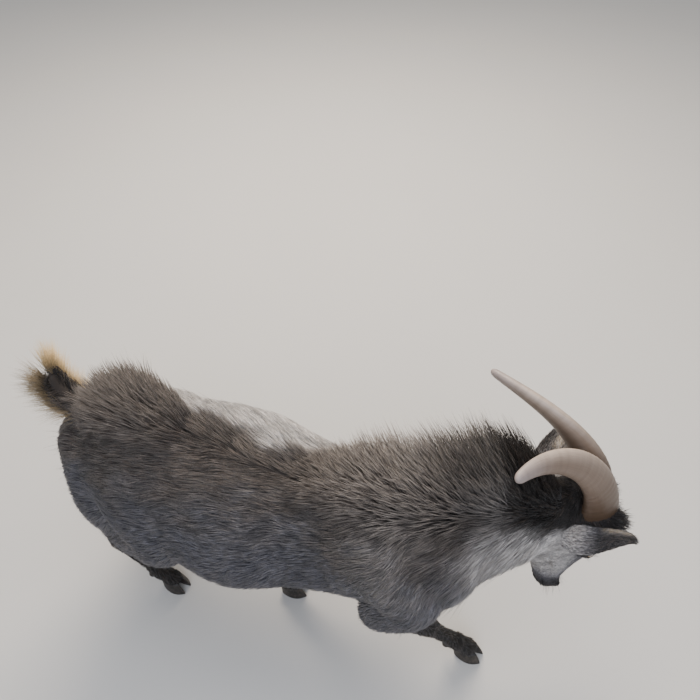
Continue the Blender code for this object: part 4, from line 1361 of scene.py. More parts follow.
    def unwrap(self, points: Array, regions: Array) -> Array:
        """Each root's place on an unwrap of the skin: along its part, and round it.

        Args:
            points: roots of one piece of the coat.
            regions: region of each.

        Returns:
            Two columns of 0 to 1.
        """
        x, y, z = points.T
        head = self.marks.head_places(points)
        on_head = within(regions, Region.HEAD)
        along = np.where(on_head, head[:, 2], x)
        along = np.where(within(regions, Region.NECK), points @ np.array(NECK_RUN), along)
        around = np.where(on_head, np.arctan2(head[:, 1], head[:, 0] + 0.055),
                          np.arctan2(y - 0.01, z - 0.30))
        for table, region in LEGS:
            for place, joints in enumerate(table.values()):
                line = np.array(joints)
                gap, span, share, _ = polyline(points, line)
                middle = line[span] + (line[span + 1] - line[span]) * share[:, None]
                other = polyline(points, np.array(list(table.values())[1 - place]))[0]
                here = within(regions, region) & (gap < other)
                turn = np.arctan2(points[:, 1] - middle[:, 1], points[:, 0] - middle[:, 0])
                around = np.where(here, turn + place * 2.2 * math.pi, around)
                along = np.where(here, z, along)
        out = np.stack([along, around], axis=1)
        low, high = out.min(axis=0), out.max(axis=0)
        return 0.01 + 0.98 * (out - low) / np.maximum(high - low, 1e-6)

    def lying(self, draw: np.random.Generator, roots: Array, normals: Array, regions: Array,
              poll: Array) -> tuple:
        """Hair that lies on the skin, drawn together into locks.

        Args:
            draw: the coat's random draw.
            roots: roots of all tufts.
            normals: the way the skin faces there.
            regions: region of each.
            poll: how much of the hair round the horns' bases stands there.

        Returns:
            The tufts' bends and tips, and the leader of each tuft's lock.
        """
        total = len(roots)
        flow = self.lie(roots, normals, regions)
        length = self.length(roots, regions) * draw.uniform(0.70, 1.20, total)
        loft = by_region("loft", regions) * draw.uniform(0.4, 1.5, total) + 0.010 * poll
        half = (flow + draw.normal(size=(total, 3)) * 0.08) * (length * 0.5)[:, None]
        middle, face = self.on_skin(roots + half)
        bend = middle + face * (loft * 0.62)[:, None]
        ground, face = self.on_skin(middle + half)
        tip = ground + face * loft[:, None]
        wisp, leader = self.gather(roots, tip, self.lying_locks, Seed.LYING_LOCKS)
        gathered = np.where(length > 0.038, 0.32, 0.18) * (0.4 + 1.1 * draw.random(total))
        tip = mixed(tip, wisp, gathered)
        bend = bend + (tip - ground - face * loft[:, None]) * 0.35
        return (bend, tip), leader

    def raised(self, draw: np.random.Generator, roots: Array, way: Array, tall: Array) -> tuple:
        """Raised hair, which leans back and bends under its own weight toward the tip.

        Args:
            draw: the coat's random draw.
            roots: roots of all tufts.
            way: the way that each stands.
            tall: its length.

        Returns:
            The tufts' bends and tips.
        """
        total = len(roots)
        way = unit(way + draw.normal(size=(total, 3)) * 0.11)
        sag = np.tile((-0.20, 0.0, -0.06), (total, 1))
        sag[:, 1] = 0.07 * draw.normal(size=total)
        tip = roots + way * tall[:, None] + sag * tall[:, None]
        bend = roots + way * (tall * 0.5)[:, None] + sag * (tall * 0.16)[:, None]
        crown, _ = self.gather(roots, tip, self.raised_locks, Seed.RAISED_LOCKS)
        return bend, tip * 0.68 + crown * 0.32

    def forelock(self, draw: np.random.Generator, roots: Array, head: Array) -> tuple:
        """Hair before the horns, which stands out over the brow and falls a little.

        Args:
            draw: the coat's random draw.
            roots: roots of all tufts.
            head: the same roots in the head's frame.

        Returns:
            The tufts' bends and tips.
        """
        total = len(roots)
        ahead = np.tile((0.85, 0.0, 0.42), (total, 1))
        ahead[:, 1] = 0.35 * np.sign(head[:, 1])
        turn = np.array(HEAD_FRAME.to_3x3())
        ahead = unit(ahead + draw.normal(size=(total, 3)) * 0.22) @ turn.T
        reach = ahead * draw.uniform(0.016, 0.030, total)[:, None]
        return roots + reach * 0.55, roots + reach + (0.0, 0.0, -0.004)

    def shades(self, roots: Array, regions: Array, lift: Array, chance: Array, own: Array) -> Array:
        """How pale the tip of each tuft is, before the black round the horns.

        Args:
            roots: roots of all tufts.
            regions: region of each.
            lift: how far each stands up.
            chance: its shade, which it shares with its lock.
            own: a draw of its own.

        Returns:
            Paleness from 0 to 1.
        """
        x, _, z = roots.T
        pale = np.where(chance > 0.62, 0.36, 0.10) + 0.10 * waves(roots, 0.03, Seed.PALE_TIPS)
        pale = 0.16 + (pale - 0.16) * (0.55 + 0.45 * smoothstep(0.31, 0.38, z))
        pale = pale + 0.55 * hump((x, 0.03, 0.06), (z, 0.40, 0.07)) * smoothstep(0.45, 0.75, chance)
        pale = np.where(within(regions, Region.HEAD), 0.12, pale)
        pale = np.where(within(regions, Region.TAIL), 0.15 + 0.40 * own, pale)
        pale = np.where(within(regions, Region.FORELEG, Region.HIND_LEG), 0.03, pale)
        # Raised hair has pale tips; the extra paleness on the mane over the withers is a painted
        # highlight of light shining through it
        high = 0.26 + 0.44 * own + 0.24 * hump((x, 0.03, 0.09))
        return np.clip(pale * (1 - lift) + lift * high, 0, 0.8)

    def grow(self) -> None:
        """Grow every piece of the coat."""
        draw = np.random.default_rng(Seed.TUFTS)
        self.tree = surface(self.skin.data)
        roots, normals = self.thin(*self.sample(self.count, Seed.ROOTS))
        regions = self.regions(roots)
        total = len(roots)
        head = self.marks.head_places(roots)
        lift, way, tall = self.erect(roots)
        lift = np.where(within(regions, Region.TRUNK, Region.NECK), lift, 0.0)
        tall = tall * draw.uniform(0.66, 1.06, total)
        poll = np.where(within(regions, Region.HEAD), self.poll(head), 0.0)
        lock = poll * smoothstep(-0.024, -0.004, head[:, 0])
        lock = lock * smoothstep(-0.036, -0.016, head[:, 2])
        flat, leader = self.lying(draw, roots, normals, regions, poll)
        high = self.raised(draw, roots, way, tall)
        front = self.forelock(draw, roots, head)
        bend, tip = (mixed(mixed(lies, stands, lift), leads, lock)
                     for lies, stands, leads in zip(flat, high, front))
        beyond = bend * 0.42 + tip * 0.58 + (bend - (roots + tip) / 2) * 0.30
        width = by_region("width", regions) * draw.uniform(0.6, 1.4, total) * (1 - 0.20 * lift)
        marks = self.marks.weights(roots)
        # Hairs of one lock share much of their shade, so that locks read as streaks
        own, shared = draw.random(total), draw.random(total)[leader]
        chance = 0.45 * own + 0.55 * shared
        paleness = self.shades(roots, regions, lift, chance, own) * (1 - 0.9 * poll)
        sink = roots - normals * ROOT_DEPTH
        for name, chosen, long in self.groups(roots, regions, lift):
            lines = [row[chosen] for row in ((bend, beyond, tip) if long else (bend, tip))]
            tufts = Tufts(sink[chosen], normals[chosen], lines, width[chosen],
                          self.unwrap(roots[chosen], regions[chosen]), marks[chosen],
                          chance[chosen], paleness[chosen], np.zeros(len(lines[0])))
            slot = "coat" if "leg" not in name else "black_coat"
            self.site.join(tufts.build(name), self.finish, slot)

    def thin(self, roots: Array, normals: Array) -> tuple:
        """Leave out roots in the eyes, the nostrils and the hooves."""
        keep = np.ones(len(roots), bool)
        head = self.marks.head_places(roots)
        for out in SIDES.values():
            centre = np.array(Head().eye_frame(out) @ Vector((0, 0, 0.0075)))
            keep &= np.linalg.norm((head - centre), axis=1) > 0.0108
            keep &= np.linalg.norm(head - np.array(mirrored(NOSTRIL, out)), axis=1) > 0.0060
        keep &= roots[:, 2] > HOOF_HEIGHT * 0.96
        return roots[keep], normals[keep]

    def groups(self, roots: Array, regions: Array, lift: Array) -> list:
        """Pieces of the coat.

        Args:
            roots: roots of all tufts.
            regions: region of each.
            lift: how far each stands up.

        Returns:
            Name, which tufts, and whether they take the finer bend, for each piece.
        """
        x, y, _ = roots.T
        raised = lift > 0.25
        trunk = within(regions, Region.TRUNK) & ~raised
        head = within(regions, Region.HEAD)
        right, right_cheek = y < 0.01, self.marks.head_places(roots)[:, 1] < 0
        rump, shoulder = x < RUMP_START, x >= 0.0
        flank = ~rump & ~shoulder
        return [
            ("coat_mane", raised & (x > 0.005), True),
            ("coat_crest", raised & (x <= 0.005), True),
            ("coat_rump_right", trunk & right & rump, False),
            ("coat_rump_left", trunk & ~right & rump, False),
            ("coat_flank_right", trunk & right & flank, False),
            ("coat_flank_left", trunk & ~right & flank, False),
            ("coat_shoulder_right", trunk & right & shoulder, False),
            ("coat_shoulder_left", trunk & ~right & shoulder, False),
            ("coat_neck", within(regions, Region.NECK) & ~raised, False),
            ("coat_head_right", head & right_cheek, False),
            ("coat_head_left", head & ~right_cheek, False),
            ("coat_tail", within(regions, Region.TAIL), True),
            ("coat_forelegs", within(regions, Region.FORELEG), False),
            ("coat_hind_legs", within(regions, Region.HIND_LEG), False),
        ]


@dataclass
class Horn:
    """One horn: swept up, back and out, with soft growth rings and a blunt tip."""

    side: str
    rings: int = 150
    corners: int = 36
    spans: int = 24
    growth_rings: int = 26
    lean: float = math.radians(-11.0)
    bend: float = math.radians(97.4)
    splay: float = math.radians(-1.6)
    spread: float = math.radians(50)

    def way(self, back: float, outward: float) -> Vector:
        """Direction that leans back and turns outward by two angles."""
        return Vector((-math.sin(back) * math.cos(outward), SIDES[self.side] * math.sin(outward),
                       math.cos(back) * math.cos(outward)))

    def rows(self) -> Array:
        """Points and half sizes along the horn, in the head's frame."""
        point = Vector((-0.017, SIDES[self.side] * HORN_HALF_SPREAD, 0.0))
        rows = [(*(point - self.way(self.lean, self.splay) * 0.014), 0.0090, 0.0150)]
        for k in range(self.spans + 1):
            taper = (1 - k / self.spans) ** 0.75
            rows.append((*point, 0.0115 * taper + 0.0052, 0.0245 * taper + 0.0058))
            middle = (k + 0.5) / self.spans
            step = self.way(self.lean + self.bend * middle ** 0.7,
                            self.splay + self.spread * middle ** 1.56)
            point = point + step * HORN_LENGTH / self.spans
        return np.array(rows)

    def build(self, site: Site, finish: Material) -> None:
        """Make the horn and join it to the animal."""
        broad = Vector((SIDES[self.side] * 0.30, 0.85, SIDES[self.side] * 0.60))
        rows = smooth_rows(self.rows(), 6)
        gaps = np.linalg.norm(np.diff(rows[:, :3], axis=0), axis=1)
        reach = np.concatenate([[0], np.cumsum(gaps)])
        share = reach / reach[-1]
        mesh = bmesh.new()
        layer = mesh.loops.layers.uv.new("grain")
        runs = unit(np.gradient(rows[:, :3], axis=0))
        steps = np.linspace(0, 1, self.rings)
        rings = []
        draw = np.random.default_rng(Seed["HORN_" + self.side.upper()])
        beats = np.cumsum(draw.uniform(0.6, 1.4, self.growth_rings))
        beats = beats / beats[-1] * 1.10
        for step in steps:
            row = np.array([np.interp(step, share, rows[:, j]) for j in range(5)])
            run = Vector([np.interp(step, share, runs[:, j]) for j in range(3)]).normalized()
            side = (broad - run * run.dot(broad)).normalized()
            up = run.cross(side)
            near = np.min(np.abs(beats - step)) / 0.010
            swell = 1 + 0.014 * math.exp(-near ** 2) * (1 - step) ** 0.6
            swell += 0.004 * math.sin(step * 190)
            blunt = math.sqrt(max(0.0, 1 - max(0.0, (step - 0.965) / 0.035) ** 2))
            ring = []
            for k in range(self.corners):
                turn = 2 * math.pi * k / self.corners
                keel = 1 + 0.10 * max(0.0, -math.sin(turn)) ** 3 * (1 - step)
                wide = row[3] * swell * blunt * math.cos(turn)
                deep = row[4] * swell * blunt * math.sin(turn) * keel
                ring.append(mesh.verts.new(Vector(row[:3]) + side * wide + up * deep))
            rings.append(ring)
        for j, (low, high) in enumerate(zip(rings, rings[1:])):
            for k in range(self.corners):
                face = mesh.faces.new((low[k - 1], low[k], high[k], high[k - 1]))
                around = ((k - 1) % self.corners) / self.corners
                beyond = around + 1 / self.corners
                spots = ((around, steps[j]), (beyond, steps[j]),
                         (beyond, steps[j + 1]), (around, steps[j + 1]))
                for loop, spot in zip(face.loops, spots):
                    loop[layer].uv = spot
        mesh.faces.new(rings[0])
        bmesh.ops.remove_doubles(mesh, verts=rings[-1], dist=0.0001)
        bmesh.ops.recalc_face_normals(mesh, faces=mesh.faces)
        mesh.transform(HEAD_FRAME)
        site.join(add("horn_shell_" + self.side, mesh), finish, "horn", ["horn_" + self.side])


@dataclass
class Ear:
    """One ear: a thin cup of skin, short-haired outside and fringed at its rims."""

    side: str
    rings: int = 44
    columns: int = 21
    hairs: int = 5200
    rim_share: float = 0.22
    half_width: float = 0.0285
    thickness: float = 0.0030

    def axes(self) -> tuple:
        """Ear's axis, the way it opens, and the way across."""
        axis = EAR_AXIS[self.side].normalized()
        opening = Vector((0.10, SIDES[self.side] * 0.62, -0.78))
        opening = (opening - axis * axis.dot(opening)).normalized()
        return axis, opening, axis.cross(opening)

    def leaf(self, share: float, turn: float, depth: float) -> Vector:
        """A point of the ear.

        Args:
            share: from its base, 0, to its tip, 1.
            turn: across it, from -1 to 1.
            depth: from its outer face, 0, to its inner face, 1.

        Returns:
            The point in the head's frame.
        """
        axis, opening, across = self.axes()
        arch = math.sin(math.pi * min(1.0, 0.06 + 0.94 * share) ** 0.85) ** 0.50
        half = self.half_width * arch + 0.0014
        half *= 0.45 + 0.55 * math.sin(math.pi / 2 * min(1.0, share / 0.32))
        wrap = math.radians(118 - 62 * share)
        thick = self.thickness * (1 - 0.55 * share)
        hollow = min(1.0, max(0.0, (share - 0.10) / 0.25))
        centre = mirrored(EAR_BASE, SIDES[self.side]) + axis * EAR_LENGTH * share
        centre += opening * (0.011 * math.sin(math.pi * share) - 0.004 * share * share)
        radius = half / max(0.45, math.sin(min(wrap, math.pi / 2)))
        arm = across * math.sin(wrap * turn) * radius - opening * math.cos(wrap * turn) * radius
        edge = abs(turn)
        deep = thick * (1 - 0.45 * edge) + (1 - hollow) * radius * 0.9 * (1 - edge)
        raised = opening * thick * 0.3 * (1 - edge) * depth
        return centre + arm * (1 - deep * depth / radius) + raised

    def streak(self, shares: Array, turns: Array) -> Array:
        """How much of the cream streak, which runs along the ear's back, lies at its places."""
        ridge = hump((turns * SIDES[self.side], 0.08, 0.22))
        return ridge * smoothstep(0.48, 0.62, shares) * smoothstep(0.96, 0.84, shares)

    def marks(self, shares: Array, turns: Array, inner: Array) -> Array:
        """Pale grey ear with a dark lower side and tip, a cream streak, and a brown cup made darker
        by painted shade in its hollow.
        """
        streak = self.streak(shares, turns) * (1 - inner)
        lower = turns * SIDES[self.side]
        dark = 0.72 * smoothstep(0.28, 0.58, shares) + 0.25 * smoothstep(0.80, 0.96, shares)
        dark = dark + 0.30 * smoothstep(0.12, 0.45, shares) * smoothstep(0.25, 0.60, lower)
        # The cup is brown, and made near black by painted shade in its hollow
        cup = inner * smoothstep(0.98, 0.60, np.abs(turns))
        black = np.clip(0.85 * dark * (1 - streak) + 0.80 * cup, 0, 1)
        pale = np.clip(0.60 * smoothstep(0.55, 0.15, shares) + 0.05 + 0.45 * streak, 0, 1)
        brown = 0.5 * cup + 0.3 * streak
        blue = 0.85 * (1 - cup) * (1 - streak)
        return np.stack([black, pale * (1 - cup), np.clip(brown, 0, 1), blue], axis=1)

    def build(self, site: Site, skin: Material, hair: Material) -> None:
        """Make the ear and its hair, and join them to the animal.

        Args:
            site: where the animal stands.
            skin: finish of the ear itself.
            hair: finish of its hair.
        """
        mesh = bmesh.new()
        rings = []
        tags = []
        for j in range(self.rings):
            share = j / (self.rings - 1)
            ring = []
            for depth, order in ((0, range(self.columns)), (1, range(self.columns - 1, -1, -1))):
                for k in order:
                    turn = k / (self.columns - 1) * 2 - 1
                    ring.append(mesh.verts.new(self.leaf(share, turn, depth)))
                    tags.append((share, turn, depth))
            rings.append(ring)
        bridge(mesh, rings)
        mesh.faces.new(rings[0])
        mesh.faces.new(rings[-1])
        bmesh.ops.recalc_face_normals(mesh, faces=mesh.faces)
        mesh.transform(HEAD_FRAME)
        shell = add("ear_shell_" + self.side, mesh)
        write_bare(shell.data, self.marks(*np.array(tags).T), 0.45, 0.5)
        site.join(shell, skin, "coat", ["ear_" + self.side])
        self.grow(site, hair)

    def grow(self, site: Site, finish: Material) -> None:
        """Short hair over the outer face, and longer hair from the rims into the cup."""
        draw = np.random.default_rng(Seed["EAR_" + self.side.upper()])
        rims = int(self.hairs * self.rim_share)
        shares = np.concatenate([draw.uniform(0.06, 0.97, self.hairs - rims),
                                 draw.uniform(0.12, 0.90, rims)])
        turns = draw.uniform(-1, 1, self.hairs)
        turns[-rims:] = np.sign(draw.normal(size=rims)) * draw.uniform(0.80, 1.0, rims)
        inner = np.zeros(self.hairs)
        inner[-rims:] = 1.0
        head = HEAD_FRAME.to_3x3()
        roots, normals, low, end = [], [], [], []
        for share, turn, depth in zip(shares, turns, inner):
            root = self.leaf(share, turn, depth)
            ahead = self.leaf(min(1.0, share + 0.02), turn, depth) - root
            beside = self.leaf(share, min(1.0, turn + 0.02), depth)
            beside -= self.leaf(share, max(-1, turn - 0.02), depth)
            face = ahead.cross(beside).normalized()
            away = self.leaf(share, turn, 0) - self.leaf(share, turn, 1)
            face = face if (face.dot(away) > 0) == (depth == 0) else -face
            run = ahead.normalized()
            if depth:
                run = (run * 0.8 - beside.normalized() * math.copysign(0.9, turn)).normalized()
            size = (0.009 if depth == 0 else 0.013) * draw.uniform(0.7, 1.2)
            loft = (0.0012 if depth == 0 else 0.0035) * draw.uniform(0.6, 1.4)
            bend = Vector(draw.normal(size=3)) * 0.10
            roots.append(HEAD_FRAME @ (root - face * 0.0006))
            normals.append(head @ face)
            low.append(HEAD_FRAME @ (root + (run + bend) * size * 0.5 + face * loft * 0.7))
            end.append(HEAD_FRAME @ (root + (run + bend) * size + face * loft))
        roots, normals, low, end = (np.array(rows) for rows in (roots, normals, low, end))
        width = np.where(inner > 0, 0.0007, 0.0012) * draw.uniform(0.7, 1.3, self.hairs)
        places = 0.01 + 0.98 * np.stack([shares, (turns + 1) / 4 + inner / 2], axis=1)
        marks = self.marks(shares, turns, inner * 0.2)
        streak = self.streak(shares, turns) * (1 - inner)
        tufts = Tufts(roots, normals, [low, end], width, places, marks, draw.random(self.hairs),
                      np.full(self.hairs, 0.15), 0.45 * streak * draw.random(self.hairs))
        site.join(tufts.build("coat_ear_" + self.side), finish, "coat")


@dataclass
class Eye:
    """One eye: a ball with a raised cornea, which looks outward and a little forward."""

    side: str

    def build(self, site: Site, finish: Material) -> None:
        """Make the eye and join it to the animal, with its pupil level with the ground."""
        frame = HEAD_FRAME @ Head().eye_frame(SIDES[self.side])
        outward = frame.to_3x3() @ Vector((0, 0, 1))
        level = frame.to_3x3().inverted() @ Vector((0, 0, 1)).cross(outward).normalized()
        upright = Vector((0, 0, 1)).cross(level)
        mesh = bmesh.new()
        bmesh.ops.create_uvsphere(mesh, u_segments=48, v_segments=32, radius=1)
        layer = mesh.loops.layers.uv.new("gaze")
        for vert in mesh.verts:
            if vert.co.z > 0.75:
                vert.co *= 1 + 0.05 * float(smoothstep(0.75, 0.95, np.array(vert.co.z)))
        for face in mesh.faces:
            for loop in face.loops:
                place = loop.vert.co
                loop[layer].uv = (0.5 + place.dot(level) / 2, 0.5 + place.dot(upright) / 2)
        mesh.transform(Matrix.Scale(EYE_RADIUS * 0.985, 4))
        mesh.transform(frame)
        site.join(add("eyeball_" + self.side, mesh), finish, "eye", ["eye_" + self.side])


@dataclass
class Hoof:
    """One cloven hoof with its two dewclaws."""

    kind: str
    side: str
    levels: int = 22
    corners: int = 32
    stops: tuple = (0, 0.35, 0.7, 1)
    girths: tuple = (1.0, 0.95, 0.88, 0.80)
    leans: tuple = (0, -0.0015, -0.0035, -0.006)
    growth_waves: float = 34.0

    def claw(self, mesh: BMesh, hand: int) -> None:
        """One of the two claws, toe forward along +X."""
        rings = []
        for j in range(self.levels):
            level = j / (self.levels - 1)
            grow, back = (float(np.interp(level, self.stops, row))
                          for row in (self.girths, self.leans))
            ripple = 1 + 0.010 * math.sin(level * self.growth_waves)
            bevel = 1 - 0.06 * max(0.0, 1 - level * 14) ** 2
            ring = []
            for k in range(self.corners):
                turn = 2 * math.pi * k / self.corners
                x, y = math.cos(turn), math.sin(turn)
                reach = HOOF_LENGTH / 2 * grow * ripple * bevel * (1.05 if x > 0 else 0.9)
                inner = 0.62 if y * hand < 0 else 1.0
                middle = hand * (HOOF_WIDTH * 0.25 + 0.0004) * grow
                across = y * inner * (HOOF_WIDTH / 4 - 0.0006) * grow * ripple * bevel
                across *= (1 - 0.55 * max(x, 0) ** 3) * (1 - 0.10 * max(-x, 0))
                place = Vector((x * reach + back, middle + across - hand * 0.0016 * max(x, 0) ** 2,
                                level * HOOF_HEIGHT - 0.004 * level * (1 - x) / 2))
                ring.append(mesh.verts.new(place))
            rings.append(ring)
        bridge(mesh, rings)
        mesh.faces.new(rings[0])
        mesh.faces.new(rings[-1])

    def build(self, site: Site, finish: Material) -> None:
        """Make the hoof and join it to the animal."""
        out = SIDES[self.side]
        joints = (FORE if self.kind == "fore" else HIND)[self.side]
        fetlock, hoof = Vector(joints[2]), Vector(joints[3])
        frame = Matrix.Translation((hoof.x + 0.002, hoof.y, 0))
        frame = frame @ Matrix.Rotation(out * TOE_OUT, 4, "Z")
        whole = bmesh.new()
        for hand in (-1, 1):
            self.claw(whole, hand)
        whole.transform(frame)
        for hand in (-1, 1):
            spot = fetlock + Vector((-0.0150, hand * 0.0085, -0.0085))
            absorb(whole, ball(spot, (0.0062, 0.0050, 0.0088), (0, 25, hand * 10), 3))
        bmesh.ops.recalc_face_normals(whole, faces=whole.faces)
        name = "%s_%s" % (self.kind, self.side)
        site.join(add("claws_" + name, whole), finish, "hoof", ["hoof_" + name])


@dataclass
class SingleHairs:
    """Single long hairs, each a copy of one thin tapered shaft, turned and bent on its root.

    Attributes:
        name: the name of the piece.
        thickness: a hair's radius at its root.
        seed: which draw of lengths.
        corners: corners round a hair.
        joints: stretches along it.
    """

    name: str
    thickness: float
    seed: int = 1
    corners: int = 3
    joints: int = 2

    def tree(self) -> tuple:
        """The node tree that grows the hairs.

        Returns:
            The tree, and the identifiers of its inputs by their name.
        """
        tree = bpy.data.node_groups.new(self.name, "GeometryNodeTree")
        sockets = {}
        for label, kind in (("Geometry", "Geometry"), ("Thickness", "Float"), ("Corners", "Int"),
                            ("Joints", "Int"), ("Seed", "Int"), ("Finish", "Material")):
            sockets[label] = tree.interface.new_socket(
                label, in_out="INPUT", socket_type="NodeSocket" + kind).identifier
        tree.interface.new_socket("Geometry", in_out="OUTPUT", socket_type="NodeSocketGeometry")
        start = tree.nodes.new("NodeGroupInput").outputs

        def read(name: str, kind: str) -> Socket:
            """A value kept on the roots."""
            return add_node(tree, "GeometryNodeInputNamedAttribute", {"data_type": kind},
                            {"Name": name}).outputs["Attribute"]

        # One upright shaft, which keeps for each point how far along the hair it lies
        shaft = add_node(tree, "GeometryNodeMeshCone", None, {
            "Radius Top": 0.0, "Radius Bottom": 1.0, "Depth": 1.0, "Vertices": start["Corners"],
            "Side Segments": start["Joints"]}).outputs["Mesh"]
        height = add_node(tree, "ShaderNodeSeparateXYZ", None,
                          {0: tree.nodes.new("GeometryNodeInputPosition").outputs[0]}).outputs["Z"]
        shaft = add_node(tree, "GeometryNodeStoreNamedAttribute",
                         {"data_type": "FLOAT", "domain": "POINT"},
                         {"Geometry": shaft, "Value": height, "Name": "along"}).outputs[0]
        # A copy of it on each root, turned, stretched and then bent by its droop
        roots = add_node(tree, "GeometryNodeMeshToPoints", None,
                         {"Mesh": start["Geometry"]}).outputs[0]
        turn = add_node(tree, "FunctionNodeAlignRotationToVector", {"axis": "Z"},
                        {"Vector": read("way", "FLOAT_VECTOR")}).outputs[0]
        vary = add_node(tree, "FunctionNodeRandomValue", {"data_type": "FLOAT"},
                        {"Seed": start["Seed"], 2: 0.7, 3: 1.15}).outputs[1]
        reach = compute(tree, "MULTIPLY", read("reach", "FLOAT"), vary)
        size = add_node(tree, "ShaderNodeCombineXYZ", None,
                        {0: start["Thickness"], 1: start["Thickness"], 2: reach}).outputs[0]
        hairs = add_node(tree, "GeometryNodeInstanceOnPoints", None, {
            "Points": roots, "Instance": shaft, "Rotation": turn, "Scale": size}).outputs[0]
        whole = add_node(tree, "GeometryNodeRealizeInstances", None, {0: hairs}).outputs[0]
        droop = add_node(tree, "ShaderNodeVectorMath", {"operation": "SCALE"},
                         {0: read("droop", "FLOAT_VECTOR"),
                          "Scale": compute(tree, "POWER", read("along", "FLOAT"), 2.0)}).outputs[0]
        whole = add_node(tree, "GeometryNodeSetPosition", None,
                         {"Geometry": whole, "Offset": droop}).outputs[0]
        whole = add_node(tree, "GeometryNodeSetMaterial", None,
                         {"Geometry": whole, "Material": start["Finish"]}).outputs[0]
        add_node(tree, "NodeGroupOutput", None, {0: whole})
        return tree, sockets

    def build(self, coat: Coat, roots: Array, ways: Array, reaches: Array, droops: Array,
              regions: Array, shades: tuple, marks: Array | None = None) -> None:
        """Grow the hairs on the coat's map and join them to the animal.

        Args:
            coat: the coat that they stand in.
            roots: where each hair grows.
            ways: the way it points.
            reaches: its length.
            droops: how far its tip is carried off by its weight or its curl.
            regions: the region that it grows in.
            shades: its shade, its pale tip and its share of cream, for each or for all.
            marks: its markings, if they aren't those of the place.
        """
        data = bpy.data.meshes.new(self.name)
        data.vertices.add(len(roots))
        data.vertices.foreach_set("co", roots.astype(np.float32).ravel())
        for name, kind, key, values in (("way", "FLOAT_VECTOR", "vector", unit(ways)),
                                        ("droop", "FLOAT_VECTOR", "vector", droops),
                                        ("reach", "FLOAT", "value", reaches),
                                        ("root", "INT", "value", np.arange(len(roots)))):
            layer = data.attributes.new(name, kind, "POINT")
            kept = np.int32 if kind == "INT" else np.float32
            layer.data.foreach_set(key, np.ascontiguousarray(values, kept).ravel())
        obj = link(self.name, data)
        tree, sockets = self.tree()
        grow = obj.modifiers.new("grow", "NODES")
        grow.node_group = tree
        for label, value in (("Thickness", self.thickness), ("Corners", self.corners),
                             ("Joints", self.joints), ("Seed", self.seed), ("Finish", coat.finish)):
            grow[sockets[label]] = value
        bake(obj)
        marks = coat.marks.weights(roots) if marks is None else marks
        strands = np.stack([np.zeros(len(roots)) + values for values in shades], axis=1)
        self.dress(obj.data, coat.unwrap(roots, regions), marks, strands)
        coat.site.join(obj, coat.finish, "coat")

    def dress(self, data: Mesh, places: Array, marks: Array, strands: Array) -> None:
        """Give each hair the colours of its root and its patch of the coat's map."""
        count = len(data.vertices)
        root, along = np.empty(count, np.int32), np.empty(count, np.float32)
        data.attributes["root"].data.foreach_get("value", root)
        data.attributes["along"].data.foreach_get("value", along)
        for name in ("root", "along", "way", "droop", "reach"):
            data.attributes.remove(data.attributes[name])
        draw = np.random.default_rng(self.seed).random(count)
        spots = places[root] + np.stack([draw - 0.5, along - 0.5], axis=1) * PATCH
        write_hair(data, marks[root], np.column_stack([along, strands[root]]), spots)


